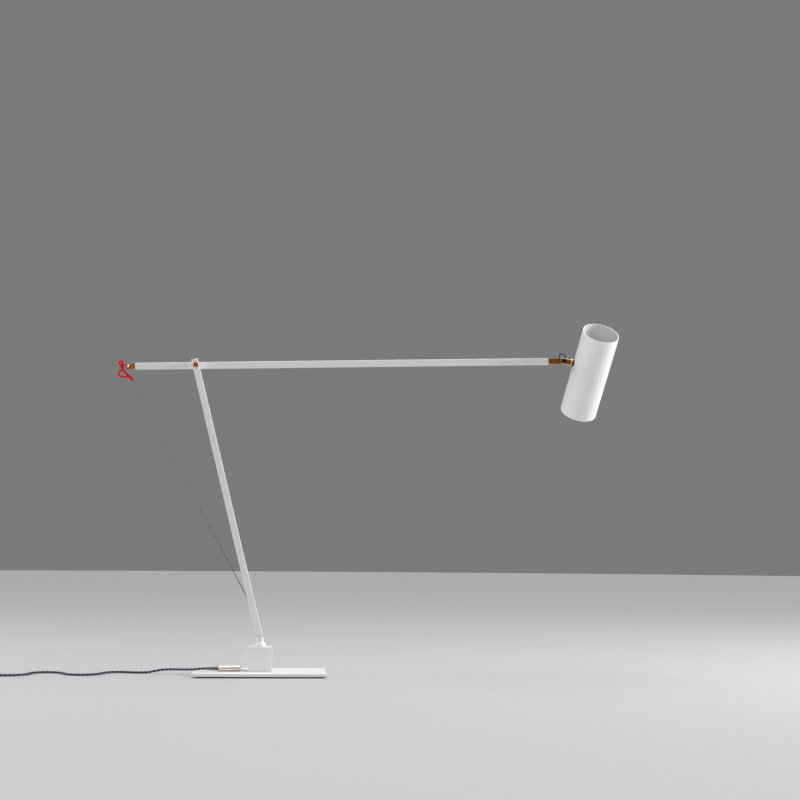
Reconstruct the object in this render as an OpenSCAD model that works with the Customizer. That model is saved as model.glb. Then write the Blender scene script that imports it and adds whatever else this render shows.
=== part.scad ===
// Balanced-arm table lamp: a leaning post on a swivel block carries a long arm with a tube shade
// at one end and a sprung tie wire at the other. Millimetres, +Z up, +X towards the shade.
// The origin is the centre of the base's footprint on the table.

/* [Base] */
// Length of the base plate along X
base_l = 200; // [170:5:240]
// Depth of the base plate along Y
base_d = 120; // [100:5:160]
// Thickness of the base plate
base_t = 4.5; // [4:0.5:8]
// Radius of the base plate's corners
base_corner_r = 1.5; // [0.5:0.5:6]
// Thickness of the rubber pad under the plate
pad_h = 2; // [1:0.5:4]
// Distance of the pad's edges from the plate's edges
pad_inset = 5; // [3:1:15]
// Width and depth of the swivel block
block_w = 36.5; // [34:0.5:44]
// Height of the swivel block
block_h = 37; // [35:1:45]
// Radius of the block's upright edges
block_corner_r = 0.8; // [0.5:0.1:2]
// Chamfer round the top of the block
block_chamfer = 0.4; // [0.2:0.1:1]

/* [Swivel] */
// Radius of the dome that turns on the block
dome_r = 9; // [8:0.5:11]
// Diameter of the neck above the dome
neck_d = 11; // [10:0.5:12]
// Height of the tilt pin above the block
tilt_pin_h = 10.5; // [10:0.5:14]
// Diameter of the swivel's spindle in the block
spindle_d = 12; // [10:1:14]
// Diameter of the swivel's threaded end
thread_d = 8; // [6:1:9]
// Diameter of the bore for the lead through the spindle
spindle_bore_d = 3.4; // [3:0.2:4]
// Thickness of the washer under the dome
thrust_t = 0.5; // [0.3:0.1:1]
// Diameter of the tilt pin
tilt_pin_d = 3; // [2.5:0.5:4]
// Thickness of the post's tilt tongue
tongue_t = 4; // [3:0.5:5]

/* [Post and arm] */
// Outer width of the square tubes
tube_w = 10; // [9:0.5:12]
// Wall of the square tubes
tube_wall = 1; // [0.8:0.1:1.4]
// Radius of the square tubes' outer corners
tube_corner_r = 1; // [0.4:0.1:1.5]
// Distance from the tilt pin to the arm's pivot
post_reach = 430; // [350:10:520]
// Length of post above the arm's pivot
post_over = 10; // [8:1:20]
// Lean of the post from upright, towards the tail
post_lean = 14; // [5:1:30]
// Length of arm from its pivot to the tail end
arm_tail = 93; // [80:1:120]
// Length of arm from its pivot to the head end
arm_head = 547; // [400:10:650]
// Rise of the arm towards the head
arm_rise = 1.5; // [0:0.5:10]
// Diameter of the pivot bolt
pivot_d = 5; // [4:0.5:6]
// Diameter of the pivot bolt's head
pivot_head_d = 8; // [7:0.5:9.5]
// Thickness of the washer between post and arm
pivot_washer_t = 1; // [0.5:0.5:2]

/* [Tie] */
// Distance of the tie's pivot beyond the arm's tube
tie_reach = 10; // [8:0.5:14]
// Diameter of the tie wire
tie_wire_d = 1.4; // [1:0.1:1.8]
// Distance of the wire's line from the tie's pivot
wire_side = 4.1; // [0:0.1:5]
// Diameter of the link's wire
link_wire_d = 3.6; // [2.8:0.2:4]
// Distance from the tie's pivot to the ferrule
link_l = 22.5; // [22:0.5:30]
// Height on the post where the tie wire ends inside
tie_end_s = 57; // [50:1:80]
// How far inside the post's middle the tie wire ends, towards the tail
tie_end_x = 2.5; // [1.5:0.5:3]
// Travel of the wire slider each way
slider_travel = 30.5; // [25:0.5:32]
// Diameter of the spring that pulls the tie
spring_d = 5; // [4:0.5:5]

/* [Head] */
// Height and depth of the brass fittings
brass_w = 9; // [8:0.5:10]
// Radius of the brass fittings' long edges
brass_corner_r = 0.4; // [0.2:0.1:0.8]
// Distance from the end of the arm's tube to the head's tilt screw
head_reach = 25; // [20:1:35]
// Fall of the head's fork below the level
fork_fall = 10; // [-20:1:40]
// Diameter of the tilt screw
tilt_screw_d = 3; // [2.5:0.5:4]
// Diameter of the tilt screw's head
tilt_screw_head_d = 6.5; // [6:0.5:8]
// Diameter of the flange at the fork's end
flange_d = 12.4; // [11:0.2:15]
// Diameter of the spigot that the shade turns on
spigot_d = 6; // [5:0.5:8]
// Diameter of the black lead over the head joint
loop_d = 1.6; // [1.2:0.2:2]
// Height of the black lead over the brass
loop_h = 7.8; // [6:0.2:10]

/* [Shade] */
// Outer diameter of the shade
shade_d = 57.5; // [50:0.5:70]
// Length of the shade
shade_l = 146; // [130:2:180]
// Wall of the shade
shade_wall = 1.2; // [1:0.1:2]
// Distance from the shade's upper end to its swivel
shade_above = 61; // [50:1:80]
// Turn of the shade about its swivel at rest
shade_turn = 36.5; // [0:0.5:60]
// Distance from the tilt screw to the shade's middle
shade_reach = 44.2; // [42:0.2:60]
// Height of the heat sink
sink_h = 22; // [16:1:26]
// Depth of the diffuser inside the shade's lower end
mouth_depth = 20; // [10:1:25]

/* [Lead and plug] */
// Diameter of the mains cord
cord_d = 4; // [3.5:0.1:4]
// Diameter of the brass dimmer
dimmer_d = 9; // [8:0.5:12]
// Length of the brass dimmer
dimmer_l = 33; // [28:1:40]
// Gap between the dimmer and the block
dimmer_gap = 10.75; // [8:0.25:14]
// Distance of the dimmer in front of the block's middle
dimmer_front = 8; // [7:0.5:9]
// Turns of the stored cord
coil_turns = 9; // [7:1:11]
// Diameter of the stored cord at the middle of its turns
coil_mid_d = 46; // [44:1:50]

/* [Fits] */
// Radial clearance of turning fits
run_gap = 0.05; // [0.03:0.01:0.08]
// Clearance of fixed fits
seat_gap = 0.02; // [0:0.01:0.05]

/* [Hidden] */
$fn = 64;
e = 0.01;
// How far the cutting tools reach past a piece
past = 20;
far = 60;

white = "white";
brass = "goldenrod";
steel = "silver";
black = "#202022";
navy = "#1c2436";
red = "#c8141c";

// Heights on the base
base_top = pad_h + base_t;
block_top = base_top + block_h;
tilt_z = block_top + tilt_pin_h;

// The swivel's hardware in the block
well_d = 20;
well_h = 18;
washer_t = 1.6;
nut_h = 6.5;
nut_af = 13;
screw_pitch = 14;
block_screw_d = 5;

// The knuckle of the post
ear_r = neck_d / 2 - 0.3;
tube_start = ear_r + 0.2;
tongue_r = tube_w / 2 - tube_wall - run_gap;
spigot_top = 18;
grub_s = 13;
grub_d = 2.5;
inner_w = tube_w - 2 * tube_wall;
cap_t = 0.8;

// The arm lies beside the post, behind it in the picture
arm_y = tube_w + pivot_washer_t;
bush_d = pivot_d + 2;
pivot_head_t = 1.6;
pivot_spring_t = 1;
pivot_spring_y = arm_y + tube_w / 2 + run_gap;
pivot_nut_t = 4;

// Where the tie's pivot stands beyond the arm's pivot, and its plane
tie_x = -(arm_tail + tie_reach);
tie_z = -0.5;
// How far the brass fitting at the tail reaches past the tie's pivot
tail_tip = 4.6;
tie_y = 2;
tail_pin_d = 2.2;

// Points in the XZ plane, as [x, z]
function along(a) = [-sin(a), cos(a)];
function across(a) = [cos(a), sin(a)];
pivot = [0, tilt_z] + post_reach * along(post_lean);
tie_pivot = pivot + tie_x * [cos(arm_rise), sin(arm_rise)] + tie_z * [-sin(arm_rise), cos(arm_rise)];
tie_end = [0, tilt_z] + tie_end_s * along(post_lean) - tie_end_x * across(post_lean);
tie_vec = tie_end - tie_pivot;
tie_len = sqrt(pow(norm(tie_vec), 2) - pow(wire_side, 2));
// Angle of the tie wire from straight down, towards the head
tie_angle = atan2(tie_vec[0], -tie_vec[1]) + asin(wire_side / norm(tie_vec));
ferrule_l = 2.5;

// The slot and the slider inside the post
slider_l = 32;
slider_below = 3.5;
slider_s = tie_end_s - slider_below;
slot_w = tie_wire_d + 0.9;
slot_low = slider_s - 9.5;
slot_high = tie_end_s + slider_travel + 35;
spring_l = 118;
spring_top = slider_s + slider_l + spring_l;
stop_pin_d = 2.5;
spring_y = 1.2;
post_lead_d = 2;
post_lead_y = -(inner_w / 2 - post_lead_d / 2 - 0.2);
post_lead_end = 8;
arm_lead_end = 14;

// The head's fork
fork_back = 6.4;
fork_slot_w = 3.7;
fork_slot_floor = 4.9;
flange_start = 10.8;
flange_t = 1.5;
saddle_start = flange_start + flange_t;
neck_nut_t = 3;
neck_nut_af = 8;
inner_saddle_t = 1.6;
inner_saddle_d = 11;
spigot_bore_d = 3;
saddle_d = 11;
loop_half = 4.6;
loop_x = -2.9;
loop_y = -(fork_slot_w / 2 + brass_w / 2) / 2;

// Heights in the shade, from its swivel, along its own axis
shade_in_r = shade_d / 2 - shade_wall;
shade_top = shade_above;
shade_bottom = shade_above - shade_l;
diffuser_t = 2;
ring_t = 1.6;
ring_z = shade_bottom + mouth_depth;
diffuser_z = ring_z + ring_t;
board_t = 1.6;
board_d = 42;
chip_t = 1;
chip_d = 20;
sink_gap = 0.1;
head_lead_r = 1;
reflector_h = 24;
board_z = diffuser_z + diffuser_t + reflector_h;
sink_z = board_z + board_t;
sink_r = shade_in_r - sink_gap;

// The dimmer on the base
dimmer_x = -(block_w / 2 + dimmer_gap + dimmer_l / 2);
dimmer_y = -dimmer_front;
dimmer_flat = 0.3;
dimmer_z = base_top + dimmer_d / 2 - dimmer_flat;
dimmer_chamfer = 1;
button_d = 3;
dimmer_bore_r = dimmer_d / 2 - 1.5;
button_up = 1;
button_travel = 0.6;
gland_l = 20;
cord_in_gland = 8;
base_lead_d = 3;

// Chosen points of the mains cord, from the gland to the stored coil
cord_start = [dimmer_x - dimmer_l / 2 - gland_l, dimmer_y, dimmer_z];
cord_points = [
  cord_start,
  cord_start - [5, 0, 0.2],
  [-95, -6.5, 9.8],
  [-102, -3, 9.2],
  [-111, 6, 8.4],
  [-119, 16, 7.8],
  [-132.5, 27.5, 7],
  [-148, 33, 5.9],
  [-159.5, 32, 4],
  [-170, 29.5, 2.3],
  [-185.5, 29.5, 2],
  [-206.5, 38.5, 2],
  [-223, 36, 2],
  [-234.5, 20.5, 2],
  [-245, -8.5, 2],
  [-264, -18, 2],
  [-287, -6.5, 2],
  [-299, 20.5, 2],
  [-313, 32.5, 2],
  [-330, 30.5, 2],
  [-343, 15.5, 2],
  [-347, -8.5, 2],
  [-359.5, -25, 2],
  [-381, -29, 2]
];
// The stored coil lies just past the picture's left edge
coil_x = -420;
coil_layers = 4;
coil_pitch = 4.6;
coil_steps = 24;
coil_sides = 6;
coil_in_turn = coil_turns / coil_layers;
coil_r_out = coil_mid_d / 2 + coil_in_turn * coil_pitch / 2;
coil_r_in = coil_mid_d / 2 - coil_in_turn * coil_pitch / 2;
coil_y = -29 + coil_r_out;
coil_n = coil_turns * coil_steps;
coil_h = (coil_layers - 1) * coil_pitch + cord_d;

// Radius of the winding after u turns: in and out again at a steady rate, one way a layer
function coil_r(u) =
  let (k = u / coil_in_turn, m = floor(k), f = k - m)
  (m % 2 == 0) ? coil_r_out + f * (coil_r_in - coil_r_out) : coil_r_in + f * (coil_r_out - coil_r_in);
// Height of the winding: it climbs a layer in the half turn about each reversal
function ramp(x) = max(0, min(1, x));
function coil_z(u) =
  cord_d / 2 + coil_pitch * (
    ramp((u - coil_in_turn + 0.25) / 0.5)
    + ramp((u - 2 * coil_in_turn + 0.25) / 0.5)
    + ramp((u - 3 * coil_in_turn + 0.25) / 0.5)
  );
// The cord arrives heading left at the front of the coil and winds clockwise seen from above
function coil_point(u) = [
  coil_x + coil_r(u) * cos(-90 - 360 * u),
  coil_y + coil_r(u) * sin(-90 - 360 * u),
  coil_z(u)
];
coil_lead_in = [coil_x + cord_d, coil_y - coil_r_out, cord_d / 2];
coil_end = coil_point(coil_turns);
coil_end_dir = let (d = coil_point(coil_turns) - coil_point(coil_turns - 0.02)) d / norm(d);
coil_lead_out = coil_end + cord_d * coil_end_dir;
coil_path = concat([coil_lead_in], [for (i = [0:coil_n]) coil_point(i / coil_steps)], [coil_lead_out]);

// Least distance between two turns, less the cord's own diameter
coil_gap = min([
  for (i = [0:coil_n])
    for (j = [i + coil_steps / 2:2:coil_n])
      norm(coil_path[i] - coil_path[j])
]) - cord_d;
echo(coil_least_gap = coil_gap);

// Chosen points of the short end between the coil and the plug
tail_points = [
  coil_lead_out,
  coil_lead_out + [-7, 0.5, -1.5],
  coil_lead_out + [-15, 3, -5.5],
  coil_lead_out + [-23, 9, -10],
  coil_lead_out + [-29, 18, -12.4],
  coil_lead_out + [-31, 29, -12],
  coil_lead_out + [-31, 40, -9],
  coil_lead_out + [-31, 50, -7.4],
  coil_lead_out + [-31, 58, -7.4]
];
plug_at = tail_points[8];
plug_l = 46;
plug_h = 13;
plug_pin_d = 4;
pin_pitch = 18.6;

// Smooth curve through the points: Catmull-Rom with n steps between two points
function cr(p0, p1, p2, p3, t) =
  0.5 * ((2 * p1) + (p2 - p0) * t + (2 * p0 - 5 * p1 + 4 * p2 - p3) * t * t
  + (3 * p1 - p0 - 3 * p2 + p3) * t * t * t);
function smooth(p, n) =
  let (m = len(p) - 1)
  concat(
    [
      for (i = [0:m - 1])
        for (k = [0:n - 1])
          cr(p[max(i - 1, 0)], p[i], p[i + 1], p[min(i + 2, m)], k / n)
    ],
    [p[m]]
  );

// Direction of a path at point i
function heading(p, i) =
  let (m = len(p) - 1, d = p[min(i + 1, m)] - p[max(i - 1, 0)])
  d / norm(d);
// One ring of a tube about a path point, its first side facing the given upward direction
function ring(p, i, r, sides, up) =
  let (
    t = heading(p, i),
    s0 = cross(t, up),
    s = s0 / norm(s0),
    n = cross(s, t)
  )
  [for (k = [0:sides - 1]) p[i] + r * (cos(360 * k / sides) * s + sin(360 * k / sides) * n)];

// A tube of the given radius swept along a path, closed at both ends
module tube_along(p, r, sides, up = [0, 0, 1]) {
  n = len(p);
  points = [for (i = [0:n - 1]) each ring(p, i, r, sides, up)];
  walls = [
    for (i = [0:n - 2])
      for (k = [0:sides - 1])
        let (a = i * sides + k, b = i * sides + (k + 1) % sides)
        each [[a, b, a + sides], [b, b + sides, a + sides]]
  ];
  caps = [
    for (k = [1:sides - 2])
      each [[0, k + 1, k], [(n - 1) * sides, (n - 1) * sides + k, (n - 1) * sides + k + 1]]
  ];
  polyhedron(points, concat(walls, caps));
}

// Places: each module moves its children into that piece's own frame
module at_post() {
  translate([0, 0, tilt_z]) rotate([0, -post_lean, 0]) children();
}
module at_arm() {
  translate([pivot[0], arm_y, pivot[1]]) rotate([0, -arm_rise, 0]) children();
}
module at_tie() {
  translate([tie_pivot[0], tie_y, tie_pivot[1]]) rotate([0, -tie_angle, 0]) children();
}
module at_fork() {
  at_arm() translate([arm_head + head_reach, 0, 0]) rotate([0, fork_fall + arm_rise, 0]) children();
}
module at_shade() {
  at_fork() translate([shade_reach, 0, 0]) rotate([shade_turn, 0, 0]) children();
}

// A cylinder along Y, from y0 to y1
module rod_y(d, y0, y1) {
  translate([0, y1, 0]) rotate([90, 0, 0]) cylinder(d = d, h = y1 - y0);
}
// A cylinder along X, from x0 to x1
module rod_x(d, x0, x1) {
  translate([x0, 0, 0]) rotate([0, 90, 0]) cylinder(d = d, h = x1 - x0);
}
// A block between two x, with its middle on the X axis
module bar_x(w, x0, x1) {
  translate([x0, -w / 2, -w / 2]) cube([x1 - x0, w, w]);
}
// The same with its long edges rounded
module eased_bar_x(w, r, x0, x1) {
  translate([x0, 0, 0]) rotate([0, 90, 0]) rounded_plate(w, w, r, x1 - x0);
}
// A hexagon nut or bolt head, along Z
module hexagon(af, h) {
  cylinder(r = af / sqrt(3), h = h, $fn = 6);
}
// A flat washer along Z
module washer(od, id, h) {
  difference() {
    cylinder(d = od, h = h);
    translate([0, 0, -1]) cylinder(d = id, h = h + 2);
  }
}

// Base

module rounded_plate(l, d, r, h) {
  translate([-l / 2 + r, -d / 2, 0]) cube([l - 2 * r, d, h]);
  translate([-l / 2, -d / 2 + r, 0]) cube([l, d - 2 * r, h]);
  for (x = [-1, 1])
    for (y = [-1, 1])
      translate([x * (l / 2 - r), y * (d / 2 - r), 0]) cylinder(r = r, h = h);
}

module base_plate() {
  color(white) difference() {
    translate([0, 0, pad_h]) rounded_plate(base_l, base_d, base_corner_r, base_t);
    for (y = [-1, 1]) translate([0, y * screw_pitch, 0]) {
      translate([0, 0, pad_h - 1]) cylinder(d = block_screw_d + 0.5, h = base_t + 2);
      translate([0, 0, pad_h]) cylinder(d1 = 2 * block_screw_d, d2 = block_screw_d + 0.5, h = 2.25);
    }
  }
}

module base_pad() {
  color(black) rounded_plate(base_l - 2 * pad_inset, base_d - 2 * pad_inset, base_corner_r, pad_h);
}

module socket_block() {
  color(white) difference() {
    translate([0, 0, base_top]) rounded_plate(block_w, block_w, block_corner_r, block_h);
    for (a = [0:90:270]) rotate([0, 0, a]) translate([block_w / 2, 0, block_top]) rotate([0, 45, 0])
      cube([block_chamfer * sqrt(2), block_w + 2, block_chamfer * sqrt(2)], center = true);
    translate([0, 0, base_top - 1]) cylinder(d = well_d, h = well_h + 1);
    translate([0, 0, base_top]) cylinder(d = spindle_d + 2 * run_gap, h = block_h + 1);
    for (y = [-1, 1])
      translate([0, y * screw_pitch, base_top - 1]) cylinder(d = block_screw_d, h = 13);
    translate([-block_w / 2 - 1, dimmer_y, base_top + base_lead_d / 2 + 0.1])
      rod_x(base_lead_d + 1, 0, block_w / 2);
  }
}

module block_screws() {
  color(steel)
    for (y = [-1, 1]) translate([0, y * screw_pitch, 0]) difference() {
      union() {
        translate([0, 0, pad_h + 0.1]) cylinder(d = block_screw_d - 2 * seat_gap, h = 14);
        translate([0, 0, pad_h + 0.1])
          cylinder(d1 = 2 * block_screw_d - 0.5, d2 = block_screw_d - 2 * seat_gap, h = 2.2);
      }
      translate([0, 0, pad_h - 1]) cylinder(r = 1.8, h = 2.3, $fn = 6);
    }
}

// Dimmer and its leads

module dimmer_body() {
  r = dimmer_d / 2;
  color(brass) difference() {
    translate([dimmer_x - dimmer_l / 2, dimmer_y, dimmer_z]) rotate([0, 90, 0]) rotate_extrude()
      polygon([
        [0, 0],
        [r - dimmer_chamfer, 0],
        [r, dimmer_chamfer],
        [r, dimmer_l - dimmer_chamfer],
        [r - dimmer_chamfer, dimmer_l],
        [0, dimmer_l]
      ]);
    translate([dimmer_x - dimmer_l, dimmer_y - r, base_top - r]) cube([2 * dimmer_l, 2 * r, r]);
    translate([dimmer_x, dimmer_y, dimmer_z]) cylinder(d = button_d + 2 * run_gap, h = r + 1);
    translate([dimmer_x, dimmer_y, dimmer_z]) rod_x(2 * dimmer_bore_r, 1.5 - dimmer_l / 2, dimmer_l / 2 - 1.5);
    translate([dimmer_x, dimmer_y, dimmer_z]) rod_x(cord_d - 0.6, -dimmer_l / 2 - 1, 0);
    translate([dimmer_x, dimmer_y, base_top + 2.6]) rod_x(base_lead_d + 0.2, 0, dimmer_l / 2 + 1);
  }
}

module dimmer_board() {
  color("darkgreen") translate([dimmer_x, dimmer_y, dimmer_z]) difference() {
    translate([2.6 - dimmer_l / 2, -2.7, -1]) cube([dimmer_l - 8, 5.4, 0.8]);
    translate([dimmer_l / 2 - 9, -1.7, -2]) cube([9, 3.4, 3]);
  }
}

module dimmer_button() {
  top = dimmer_d / 2 + button_up;
  color(brass) translate([dimmer_x, dimmer_y, dimmer_z]) rotate_extrude() polygon([
    [0, top],
    [button_d / 2 - 0.5, top],
    [button_d / 2, top - 0.5],
    [button_d / 2, dimmer_bore_r - 1],
    [button_d / 2 + 0.6, dimmer_bore_r - 1],
    [button_d / 2 + 0.6, dimmer_bore_r - 1.4],
    [0, dimmer_bore_r - 1.4]
  ]);
}

module cord_gland() {
  color(black) translate([dimmer_x - dimmer_l / 2, dimmer_y, dimmer_z]) rotate([0, -90, 0]) difference() {
    union() {
      cylinder(d1 = dimmer_d - 2.6, d2 = cord_d + 1, h = gland_l);
      translate([0, 0, -1.5]) cylinder(d = cord_d - 0.6 - 2 * seat_gap, h = 2);
    }
    translate([0, 0, gland_l - cord_in_gland]) cylinder(d = cord_d + 2 * run_gap, h = gland_l);
    translate([0, 0, -3]) cylinder(d = cord_d - 1.8, h = gland_l);
  }
}

module base_lead() {
  x0 = dimmer_x + dimmer_l / 2;
  x1 = -block_w / 2;
  low = base_top + base_lead_d / 2 + 0.1;
  color(white) tube_along(
    smooth(
      [
        [x0 - 5, dimmer_y, base_top + 2.6],
        [x0 + 0.5, dimmer_y, base_top + 2.6],
        [x0 + 0.4 * dimmer_gap, dimmer_y, low + 0.4],
        [x1 - 0.25 * dimmer_gap, dimmer_y, low],
        [x1 + 3, dimmer_y, low],
        [x1 + 10, dimmer_y, low]
      ],
      3
    ),
    base_lead_d / 2, 12
  );
}

// Mains cord, stored coil and plug

module cord_run() {
  color(navy) tube_along(
    concat(
      [cord_start + [cord_in_gland, 0, 0], cord_start + [0.5, 0, 0]],
      [for (p = smooth(concat(cord_points, [coil_lead_in]), 3)) [p[0], p[1], max(p[2], cord_d / 2)]]
    ),
    cord_d / 2, 8
  );
}

module cord_coil() {
  color(navy) tube_along(coil_path, cord_d / 2, coil_sides);
}

module coil_tie() {
  w = coil_in_turn * coil_pitch + cord_d + 1.4;
  color(black) translate([coil_x, coil_y + coil_mid_d / 2, 0]) difference() {
    translate([-5, -w / 2 - 1, 0]) cube([10, w + 2, coil_h + 1.8]);
    translate([-6, -w / 2, -1]) cube([12, w, coil_h + 1.8]);
  }
}

module cord_tail() {
  color(navy) tube_along(smooth(tail_points, 3), cord_d / 2, 8);
}

module plug_body() {
  color(black) translate(plug_at) difference() {
    union() {
      rotate([-90, 0, 0]) cylinder(d1 = cord_d + 1.4, d2 = 8, h = 14);
      translate([-7, 13.9, -plug_h / 2]) cube([14, 8, plug_h]);
      translate([-9, 20, -plug_h / 2]) cube([18, plug_l - 20, plug_h]);
      for (s = [-1, 1]) {
        translate([s * 11, 29, -plug_h / 2]) cylinder(d = plug_h, h = plug_h);
        translate([s * 11 - plug_h / 2, 29, -plug_h / 2]) cube([plug_h, plug_l - 29, plug_h]);
      }
    }
    for (s = [-1, 1]) translate([s * pin_pitch / 2, plug_l, 0]) rod_y(plug_pin_d + 2 * seat_gap, -6, 1);
  }
}

module plug_pins() {
  for (s = [-1, 1]) translate(plug_at + [s * pin_pitch / 2, plug_l, 0]) {
    color(black) rod_y(plug_pin_d, -6, 9);
    color(steel) rod_y(plug_pin_d - 0.1, 9 - e, 19);
  }
}

// Swivel in the block

module dome_profile() {
  fillet = 1.6;
  neck_r = neck_d / 2;
  meet = sqrt(dome_r * dome_r - neck_r * neck_r);
  polygon(concat(
    [[0, thrust_t]],
    [for (a = [3:6:90 - acos(meet / dome_r) + 0]) [dome_r * cos(a), max(thrust_t, dome_r * sin(a))]],
    [[neck_r + 0.5, meet + 0.2], [neck_r + 0.1, meet + fillet], [neck_r, meet + 2 * fillet]],
    [[neck_r, tilt_pin_h + ear_r], [0, tilt_pin_h + ear_r]]
  ));
}

module swivel_stem() {
  color(white) difference() {
    union() {
      translate([0, 0, block_top]) intersection() {
        rotate_extrude() dome_profile();
        union() {
          translate([-past, -past, 0]) cube([2 * past, 2 * past, tilt_pin_h]);
          translate([0, 0, tilt_pin_h]) rod_y(2 * ear_r, -past, past);
        }
      }
      translate([0, 0, base_top + well_h]) cylinder(d = spindle_d, h = block_h - well_h + thrust_t + e);
      translate([0, 0, base_top + well_h - 11]) cylinder(d = thread_d, h = 12);
    }
    translate([0, 0, base_top]) cylinder(d = spindle_bore_d, h = block_h + tilt_pin_h);
    translate([-past, -tongue_t / 2 - run_gap, tilt_z - tongue_r - 0.5])
      cube([2 * past, tongue_t + 2 * run_gap, 2 * past]);
    translate([0, 0, tilt_z]) rod_y(tilt_pin_d + 2 * seat_gap, -past, past);
  }
}

module thrust_washer() {
  color("gainsboro") translate([0, 0, block_top]) washer(2 * dome_r - 1, spindle_d + 2 * run_gap, thrust_t);
}

module wave_washer() {
  color(steel) translate([0, 0, base_top + well_h - washer_t])
    washer(well_d - 3, thread_d + 2 * run_gap, washer_t);
}

module swivel_nut() {
  color(steel) translate([0, 0, base_top + well_h - washer_t - nut_h]) difference() {
    intersection() {
      hexagon(nut_af, nut_h);
      cylinder(d = nut_af * 1.12, h = nut_h);
    }
    translate([0, 0, -1]) cylinder(d = thread_d + 2 * seat_gap, h = nut_h + 2);
  }
}

module knuckle_pin() {
  l = neck_d / 2 - 0.6;
  color(white) translate([0, 0, tilt_z]) rod_y(tilt_pin_d, -l, l);
}

// Post

module post_knuckle() {
  color(steel) at_post() difference() {
    union() {
      rod_y(2 * tongue_r, -tongue_t / 2, tongue_t / 2);
      translate([-tongue_r, -tongue_t / 2, 0]) cube([2 * tongue_r, tongue_t, tube_start + 1]);
      translate([-tongue_r, -tongue_r, tube_start + 0.3])
        cube([2 * tongue_r, 2 * tongue_r, spigot_top - tube_start]);
    }
    rod_y(tilt_pin_d + 2 * run_gap, -past, past);
    translate([0, post_lead_y, tube_start]) cylinder(d = post_lead_d + 0.6, h = spigot_top);
    translate([0, tongue_r + 1, grub_s]) rod_y(grub_d + 2 * seat_gap, -4, 0);
  }
}

module post_tube() {
  h = post_reach + post_over - tube_start - cap_t;
  color(white) at_post() difference() {
    translate([0, 0, tube_start]) rounded_plate(tube_w, tube_w, tube_corner_r, h);
    translate([-inner_w / 2, -inner_w / 2, 0]) cube([inner_w, inner_w, post_reach + post_over + 1]);
    translate([0, 0, post_reach]) rod_y(pivot_d + 2 * seat_gap, -past, past);
    translate([-tube_w / 2 - 1, tie_y - slot_w / 2, slot_low])
      cube([tube_wall + 2, slot_w, slot_high - slot_low]);
    translate([0, 0, grub_s]) rod_y(grub_d + 2 * seat_gap, 0, past);
    translate([0, spring_y, spring_top + stop_pin_d / 2])
      rod_x(stop_pin_d + 2 * seat_gap, -tube_w, tube_w);
  }
}

module post_grub_screws() {
  color(steel) at_post() difference() {
    translate([0, 0, grub_s]) rod_y(grub_d, tongue_r - 2.6, tube_w / 2 - 0.2);
    translate([0, tube_w / 2 + 1, grub_s]) rotate([90, 0, 0]) cylinder(r = 0.75, h = 2.2, $fn = 6);
  }
}

module post_cap() {
  top = post_reach + post_over;
  color(brass) at_post() {
    translate([0, 0, top - cap_t]) rounded_plate(tube_w, tube_w, tube_corner_r, cap_t);
    translate([-tongue_r, -tongue_r, top - cap_t - 4]) cube([2 * tongue_r, 2 * tongue_r, cap_t + 3]);
  }
}

module post_lead() {
  color(black) at_post() translate([0, post_lead_y, post_lead_end]) cylinder(
    d = post_lead_d,
    h = post_reach - 2 * post_lead_end
  );
}

module spring_stop_pin() {
  color(steel) at_post() translate([0, spring_y, spring_top + stop_pin_d / 2])
    rod_x(stop_pin_d, -tube_w / 2, tube_w / 2);
}

module counter_spring() {
  low = slider_s + slider_l;
  color(steel) at_post() translate([-0.2, spring_y, low]) washer(spring_d, spring_d - 1.8, spring_top - low);
}

module wire_slider() {
  front = post_lead_y + post_lead_d / 2 + 0.2;
  back = inner_w / 2 - 0.1;
  half = inner_w / 2 - 0.1;
  color(brass) at_post() difference() {
    translate([-half, front, slider_s]) cube([2 * half, back - front, slider_l]);
    translate([-half - 1, tie_y - slot_w / 2, slider_s - 1]) cube([2 * half + 0.4, slot_w, slider_l + 2]);
  }
}

module pivot_bolt() {
  color(brass) translate([pivot[0], 0, pivot[1]]) {
    rod_y(pivot_d, -tube_w / 2 - 0.5, pivot_spring_y + pivot_spring_t + pivot_nut_t + 1);
    translate([0, -tube_w / 2, 0]) rotate([90, 0, 0]) rotate_extrude() polygon([
      [0, 0],
      [pivot_head_d / 2, 0],
      [pivot_head_d / 2, pivot_head_t - 0.4],
      [pivot_head_d / 2 - 0.4, pivot_head_t],
      [0, pivot_head_t]
    ]);
  }
}

module pivot_washer() {
  color(brass) translate([pivot[0], tube_w / 2 + pivot_washer_t - run_gap, pivot[1]]) rotate([90, 0, 0])
    washer(tube_w, pivot_d + 2 * seat_gap, pivot_washer_t - run_gap);
}

module pivot_spring_washer() {
  color(steel) translate([pivot[0], pivot_spring_y + pivot_spring_t, pivot[1]]) rotate([90, 0, 0])
    washer(tube_w - 0.5, pivot_d + 2 * seat_gap, pivot_spring_t);
}

module pivot_nut() {
  y = pivot_spring_y + pivot_spring_t;
  color(brass) translate([pivot[0], y + pivot_nut_t, pivot[1]]) rotate([90, 0, 0]) difference() {
    hexagon(8, pivot_nut_t);
    translate([0, 0, -1]) cylinder(d = pivot_d + 2 * seat_gap, h = pivot_nut_t + 2);
  }
}

// Arm

module arm_tube() {
  color(white) at_arm() difference() {
    eased_bar_x(tube_w, tube_corner_r, -arm_tail, arm_head);
    bar_x(inner_w, -arm_tail - 1, arm_head + 1);
    rod_y(bush_d + 2 * seat_gap, -past, past);
  }
}

module arm_bush() {
  color(brass) at_arm() difference() {
    rod_y(bush_d, -tube_w / 2, tube_w / 2);
    rod_y(pivot_d + 2 * run_gap, -past, past);
  }
}

module arm_lead() {
  color(black) at_arm() translate([0, 0, -inner_w / 2 + 1.2]) rod_x(2, bush_d, arm_head - arm_lead_end);
}

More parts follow.
